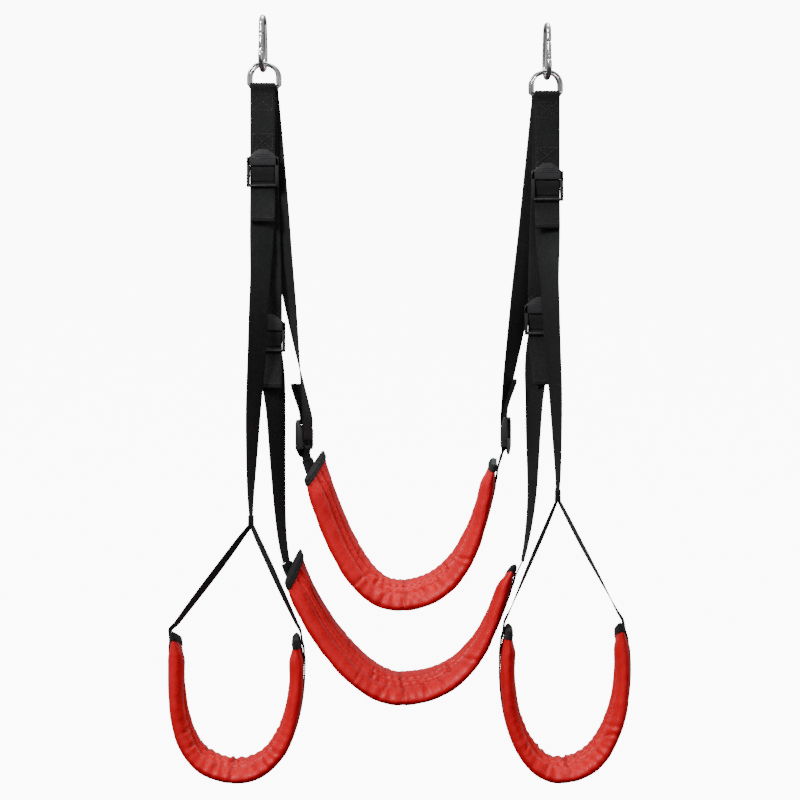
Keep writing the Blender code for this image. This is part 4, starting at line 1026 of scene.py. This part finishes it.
def binding(band, side, k, sign, flat, body, frames):
    """Folded tape over the end of a pad: sections that follow the pad 1 mm out, rolled in at the
    mouth and pinched to a flat fold past the end, with a row of stitches near the mouth."""
    centre, wide, normal, share, length = frames
    mouth = {"back": 9.0, "seat": 10.5}.get(band, BINDING_LENGTH)
    where = np.array([mouth + 0.2, mouth, mouth - 1.0, mouth * 0.7, mouth * 0.45, mouth * 0.2, 0.0,
                      -1.0, -1.8])
    grow = np.array([0.15, 1.25, 1.75, 1.8, 1.8, 1.8, 1.8, 1.5, 0.9])
    pinch = np.array([1, 1, 1, 1, 1, 0.97, 0.86, 0.68, 0.42])
    at = where if sign > 0 else length - where
    at = np.clip(at, 0, length)
    pick = lambda what: np.stack([np.interp(at, share * length, what[:, c]) for c in range(3)], 1)
    lead = unit(centre[k] - centre[k + sign])
    middle = pick(centre) + lead * np.maximum(-where, 0)[:, None]
    across, out = unit(pick(wide)), unit(pick(normal))
    thick = pad_thick(at / length, length)
    a = flat[None, :, 0] * (BAND / 2 + grow[:, None])
    rough = 0.35 * np.sin(flat[:, 0] * 23 + len(band)) + 0.25 * np.sin(flat[:, 0] * 51)
    b = flat[None, :, 1] * ((thick / 2 + grow) * pinch)[:, None]
    slide = rough[None] * (where[:, None] > mouth * 0.65)
    grid = (middle[:, None] + across[:, None] * a[..., None] + out[:, None] * b[..., None]
            - lead * slide[..., None])
    name = "%s_%s_binding" % (band, side)
    obj = skin(name + "_tape", grid, runs(middle) + 0.0, perimeter(flat * (BAND / 2, 5)))
    ready(obj, BLACK_TAPE, body, [name])
    if (band, side) == ("back", "right"):
        front = -np.sign(across[6][1]) * across[6]
        foot = middle[6] + front * (BAND / 2 - 8.0) + lead * 1.0
        tag = tape("back_band_tag", foot + np.outer(np.linspace(-3, 10, 9), (0, 0, 1.0))
                   + np.outer(np.linspace(0, 1, 9) ** 2, (0, -1.5, 0)), (1, 0, 0), width=8.0,
                   thick=0.8)
        ready(tag, TAG_CLOTH, body)
    row = grid[3] * 0.65 + grid[4] * 0.35
    nxt = np.roll(row, -1, 0)
    face = unit(out[3] * np.sign(flat[:, 1:]))
    keep = (np.abs(flat[:, 1]) > 0.35) & (np.arange(len(flat)) % 2 == 0)
    ready(stitches(name + "_stitching", (row * 0.9 + nxt * 0.1)[keep],
                   (row * -0.45 + nxt * 1.45)[keep], face[keep]), BLACK_THREAD, body)


def carrier_offset(share, length):
    """Distance from the pad's middle to the webbing outside it: on the cover, then on the tape."""
    edge = np.minimum(share, 1 - share) * length
    rise = 0.5 + (CUP_GAP + BINDING_THICK + 0.4) * smooth((BINDING_LENGTH + 16 - edge) / 12)
    return pad_thick(share, length) / 2 + GAP + WEB_THICK / 2 + rise


def carrier_run(band, ends):
    """Middle line of the webbing sewn outside a band, with its width direction."""
    centre, wide, normal, share, length = band_frames(band, 90, ends)
    path = centre + normal * carrier_offset(share, length)[:, None]
    return path, wide, normal, share * length


def edge_rows(path, wide, thick=WEB_THICK, inset=15.8, pitch=3.6):
    """Two rows of stitches along webbing, on both of its faces."""
    rows = []
    run = runs(path)
    at = np.arange(3.0, run[-1] - 4.0, pitch)
    pick = lambda where, what: np.stack([np.interp(where, run, what[:, c]) for c in range(3)], 1)
    along = tangents(path)
    across = unit(wide - along * (wide * along).sum(1, keepdims=True))
    through = np.cross(along, across)
    for a in (-inset, inset):
        for face in (-1.0, 1.0):
            line = path + across * a + through * face * thick * 0.5
            rows.append((pick(at, line), pick(at + pitch * 0.7, line), pick(at, through) * face))
    return [np.concatenate(r) for r in zip(*rows)]


# ------------------------------------------------------------------ the swing
for which in ("left", "right"):
    snap_hook(which)
    for use in RING_LAYER:
        d_ring(which, use)

padded_band("back", "back_band")
padded_band("seat", "seat_band")
padded_band("left_leg", "left_leg_sling")
padded_band("right_leg", "right_leg_sling")

SEAT_RUN = carrier_run("seat", (9.0, 18.0))
BACK_RUN = carrier_run("back", (13.0, 9.0))
for band, line in (("seat", SEAT_RUN), ("back", BACK_RUN)):
    ready(tape(band + "_carrier_webbing", line[0], line[1]), BLACK_WEB, band + "_band",
          [band + "_carrier"])
    ready(stitches(band + "_carrier_stitching", *edge_rows(line[0][6:-6], line[1][6:-6])),
          BLACK_THREAD, band + "_band")


def leg_side(side):
    """One leg sling from its ring to its loop."""
    k = 0 if side == "left" else 1
    sign = side_sign(side)
    top = ring_bar(side, "leg")
    head = np.array([top[0], top[1], LEG_BUCKLE[k]])
    where = level_frame(head)
    hanger = side + "_leg_hanger"
    sewn_loop(side + "_leg_upper_strap", top, head, 0.0, hanger)
    ladder_lock(side + "_leg_buckle", where, hanger)
    node = np.array([JUNCTION[k][0], LEG_DEPTH, JUNCTION[k][1]])
    standing_part(side + "_leg_strap", where, node + (0, 0, 6.0), (0.07, -sign), (0, 0, -1.0),
                  LEG_EASE[k], (hanger, side + "_leg_line"), forward=0.42)
    free_end(side + "_leg_tail", where, TAIL_START - (LEG_TAIL_END[k] - LEG_BUCKLE[k]),
             (hanger, side + "_leg_free_end"), swing=9.0)
    sling = side + "_leg_sling"
    stack_layers(side, node, sling)
    loop_webbing(side, node, sling)


def stack_layers(side, node, sling):
    """The sewn junction: four layers of webbing standing side by side, each a little uneven."""
    bits = []
    for layer in range(4):
        x = (layer - 1.5) * 1.75
        top = 9.0 - 0.8 * (layer % 2)
        z = np.linspace(top, -9.5, 9)
        path = node + np.c_[x + 0.3 * np.sin(z / 4.0 + layer), 0.4 * np.cos(z / 5 + layer), z]
        bits.append(tape("%s_leg_junction_layer_%d" % (side, layer + 1), path, (0, 1, 0),
                         width=WEB + 1.0, thick=1.6))
    first = bits[0]
    ready(first, BLACK_WEB, sling, [side + "_leg_junction"])
    for bit in bits[1:]:
        ready(bit, BLACK_WEB, sling)
    ready(stitches(side + "_leg_junction_stitching",
                   *both_faces(node, (0, 0, 1), (0, 1, 0), (1, 0, 0), 3.5, 14.0, 32.0)),
          BLACK_THREAD, sling)


def loop_webbing(side, node, sling):
    """Webbing from the junction down one side, under the pad and up to the junction again."""
    path, wide = carrier_run(side + "_leg", (6.0, 6.0))[:2]
    start, end = node + (-1.8, 0, -8.6), node + (1.8, 0, -8.6)
    t = np.linspace(0, 1, 12)[:-1, None]
    left, right = start * (1 - t) + path[0] * t, (end * (1 - t) + path[-1] * t)[::-1]
    flat = np.array([0.0, 1.0, 0.0])
    lines = np.concatenate([left, path, right])
    twists = np.tan(np.radians(BRANCH_TURN[0 if side == "left" else 1]))
    swell = np.sin(math.pi * (0.25 + 0.75 * t)) * np.array([1.0, 0, 0])
    turn = unit(np.concatenate([flat * (1 - t) + wide[0] * t + swell * twists[0], wide,
                                (flat * (1 - t) + wide[-1] * t + swell * twists[1])[::-1]]))
    ready(tape(side + "_leg_loop_tape", lines, turn, cup=0.4), BLACK_WEB, sling,
          [side + "_leg_loop_webbing"])
    ready(stitches(side + "_leg_loop_stitching", *edge_rows(path, wide)), BLACK_THREAD, sling)


def seat_side(side):
    """Fixed loop, buckle, adjustable strap and free end of one side of the seat band."""
    k = 0 if side == "left" else 1
    sign = side_sign(side)
    top = ring_bar(side, "seat")
    head = np.array([top[0] - sign * SEAT_BUCKLE_IN, top[1], SEAT_BUCKLE[k]])
    where = level_frame(head)
    node = "seat_" + side
    sewn_loop(node + "_upper_strap", top, head, 0.0, "hanger")
    ladder_lock(node + "_buckle", where, "hanger")
    path, wide = SEAT_RUN[:2]
    row, step = (0, 1) if side == "left" else (-1, -1)
    lead = unit(path[row + step] - path[row])
    standing_part(node + "_strap", where, path[row] - lead * 0.2, wide[row] * (-sign),
                  unit(lead - (0, 0, 1.0)), SEAT_EASE, ("hanger", "seat_band"), veer=-sign * 0.16)
    free_end(node + "_tail", where, TAIL_START - (SEAT_TAIL_END[k] - SEAT_BUCKLE[k]),
             ("hanger", "seat_tails"), swing=SEAT_TAIL_SWING, lean=0.0 if side == "left" else 7.0)


def back_side(side):
    """Twisting strap from the rear ring, upside-down buckle, free end and link to the band."""
    k = 0 if side == "left" else 1
    sign = side_sign(side)
    at = ring_bar(side, "back")
    path, wide = BACK_RUN[:2]
    row, step = (0, 1) if side == "left" else (-1, -1)
    head = np.array([BACK_BUCKLE[k][0], at[1], BACK_BUCKLE[k][1]])
    where = level_frame(head, sign * BACK_TWIST[k], flip=True)
    node = "back_" + side
    ladder_lock(node + "_buckle", where, "back_band")
    turn = turn_path()
    start = place(np.c_[np.zeros(len(turn)), turn], where)
    radius = RING_WIRE + LOOP_GAP + WEB_THICK / 2
    over = arc((0, 0), radius, -60, 190, 17)
    top = (at + np.c_[np.zeros(len(over)), over])[::-1]
    first = start[-1]
    t = np.linspace(0, 1, 25)[1:, None]
    drop = at + np.array([0, -WEB_THICK / 2 - 0.3, -9.0])
    run = first * (1 - t) + drop * t
    run[:, 0] += sign * 5.0 * np.sin(t[:, 0] * math.pi)
    begin = math.atan2(-where[1][1], -where[1][0])
    angle = begin * (1 - t[:, 0]) ** BACK_EASE[k]
    run_wide = np.stack([np.cos(angle), np.sin(angle), 0 * angle], 1)
    line = np.concatenate([start, run, top])
    lines = np.concatenate([np.repeat([-where[1]], len(start), 0), run_wide,
                            np.repeat([(1.0, 0, 0)], len(top), 0)])
    ready(tape(node + "_strap_webbing", line[::-1], lines[::-1], cup=0.5), BLACK_WEB,
          "back_straps", [node + "_strap"],
          ("back_band", drop - (0, 0, 30.0), first + (0, 0, 8.0)))
    free_end(node + "_tail", where, TAIL_START + (BACK_TAIL_END[k] - BACK_BUCKLE[k][1]),
             ("back_band", "back_tails"), swing=14.0)
    link(side, where, path[row], wide[row], unit(path[row + step] - path[row]))


def link(side, where, end, end_wide, lead):
    """Webbing folded over the buckle's fixed bar, its two ends sewn to the back band."""
    radius = BAR_RADIUS + LOOP_GAP - 0.1 + WEB_THICK / 2
    flat = arc((0, 0), radius, 215, -35, 17)
    round_bar = place(np.c_[np.zeros(len(flat)), flat * (1, -1)], where)
    end = end - lead * LINK_GAP
    across = unit(end_wide - lead * np.dot(end_wide, lead))
    across = across if np.dot(across, where[1]) > 0 else -across
    normal = unit(np.cross(across, lead))
    normal = normal if np.dot(round_bar[0] - where[0], normal) > 0 else -normal
    half = WEB_THICK / 2 + 0.1
    legs = [[end + lead * 3.0 + normal * half * s, end + normal * half * s,
             end + normal * half * s - lead * 3.0] for s in (1, -1)]
    path = np.concatenate([legs[0], round_bar, legs[1][::-1]])
    wide = np.concatenate([[across] * 3, np.repeat([where[1]], len(round_bar), 0), [across] * 3])
    ready(tape("back_%s_link_webbing" % side, path, wide, width=LINK_WEB, step=1.2), BLACK_WEB,
          "back_band", ["back_%s_link" % side])


for which in ("left", "right"):
    leg_side(which)
    seat_side(which)
    back_side(which)
for name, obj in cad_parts.items():
    finish = FOAM if name.endswith("foam") else SPRING_STEEL
    if name.endswith(("spring", "pin", "foam")):
        obj.data.materials.clear()
        obj.data.materials.append(finish)


# ------------------------------------------------------------------ studio
# Studio, in metres
FLOOR_LEVEL, FLOOR_RADIUS, WALL_RADIUS, WALL_CURVE = -1.42, 9.0, 20.0, 2.0
WALL_TOP, ROOF_TOP = 16.0, 22.0
CAMERA_DISTANCE, VIEW_WIDTH = 5.0, 1.216


def studio():
    """A wide pale floor whose rim curves up into a round wall, a key light, a fill and a top
    light. The wall goes all the way round, so that the swing can be seen from any side."""
    turn = np.linspace(0, math.pi / 2, 12)
    profile = [(0.01, FLOOR_LEVEL), (FLOOR_RADIUS, FLOOR_LEVEL)]
    profile += [(WALL_RADIUS - WALL_CURVE * (1 - math.sin(a)),
                 FLOOR_LEVEL + WALL_CURVE * (1 - math.cos(a))) for a in turn]
    profile += [(WALL_RADIUS, WALL_TOP), (0.01, ROOF_TOP)]
    around = np.linspace(0, 2 * math.pi, 97)[:-1]
    verts = [(r * math.cos(a), r * math.sin(a), z) for a in around for r, z in profile]
    count, sides = len(profile), len(around)
    faces = [(i * count + k, i * count + k + 1, (i + 1) % sides * count + k + 1,
              (i + 1) % sides * count + k) for i in range(sides) for k in range(count - 1)]
    mesh = bpy.data.meshes.new("studio_floor")
    mesh.from_pydata(verts, [], [f[::-1] for f in faces])
    mesh.shade_smooth()
    floor = bpy.data.objects.new("studio_floor", mesh)
    bpy.context.scene.collection.objects.link(floor)
    paper = bpy.data.materials.new("studio_paper")
    paper.use_nodes = True
    shader = paper.node_tree.nodes["Principled BSDF"]
    shader.inputs["Base Color"].default_value = (0.93, 0.93, 0.93, 1)
    shader.inputs["Roughness"].default_value = 0.9
    shader.inputs["Emission Color"].default_value = (1, 1, 1, 1)
    shader.inputs["Emission Strength"].default_value = 10.0
    floor.data.materials.append(paper)
    floor.visible_diffuse = False
    floor.visible_glossy = False
    floor.visible_shadow = False
    world = bpy.data.worlds.new("studio_air")
    bpy.context.scene.world = world
    world.use_nodes = True
    air = world.node_tree
    height = put(air, "ShaderNodeSeparateXYZ",
                 {0: put(air, "ShaderNodeTexCoord").outputs["Generated"]}).outputs[2]
    air.links.new(ramp(air, height, -0.5, 0.7, 0.05, 0.55), air.nodes["Background"].inputs[1])
    air.nodes["Background"].inputs[0].default_value = (1, 1, 1, 1)
    for name, where, aim, power, size in (
            ("key_softbox", (-1.7, -2.1, 1.3), (0, 0, -0.7), 92.0, 0.8),
            ("fill_softbox", (1.9, -2.2, -0.2), (0, 0, -0.7), 6.0, 1.5),
            ("top_softbox", (0.2, 0.2, 1.2), (0, 0, -0.6), 18.0, 1.0)):
        lamp = bpy.data.lights.new(name, "AREA")
        lamp.energy, lamp.size = power, size
        obj = bpy.data.objects.new(name, lamp)
        obj.location = where
        obj.rotation_euler = (Vector(aim) - Vector(where)).to_track_quat("-Z", "Y").to_euler()
        bpy.context.scene.collection.objects.link(obj)
    lens = bpy.data.cameras.new("studio_camera")
    lens.sensor_width = 36.0
    lens.lens = lens.sensor_width * CAMERA_DISTANCE / VIEW_WIDTH
    lens.clip_end = 60.0
    camera = bpy.data.objects.new("studio_camera", lens)
    camera.location = (-0.0076, -CAMERA_DISTANCE, -0.572)
    camera.rotation_euler = (math.pi / 2, 0.0, 0.0)
    bpy.context.scene.collection.objects.link(camera)
    bpy.context.scene.camera = camera


studio()
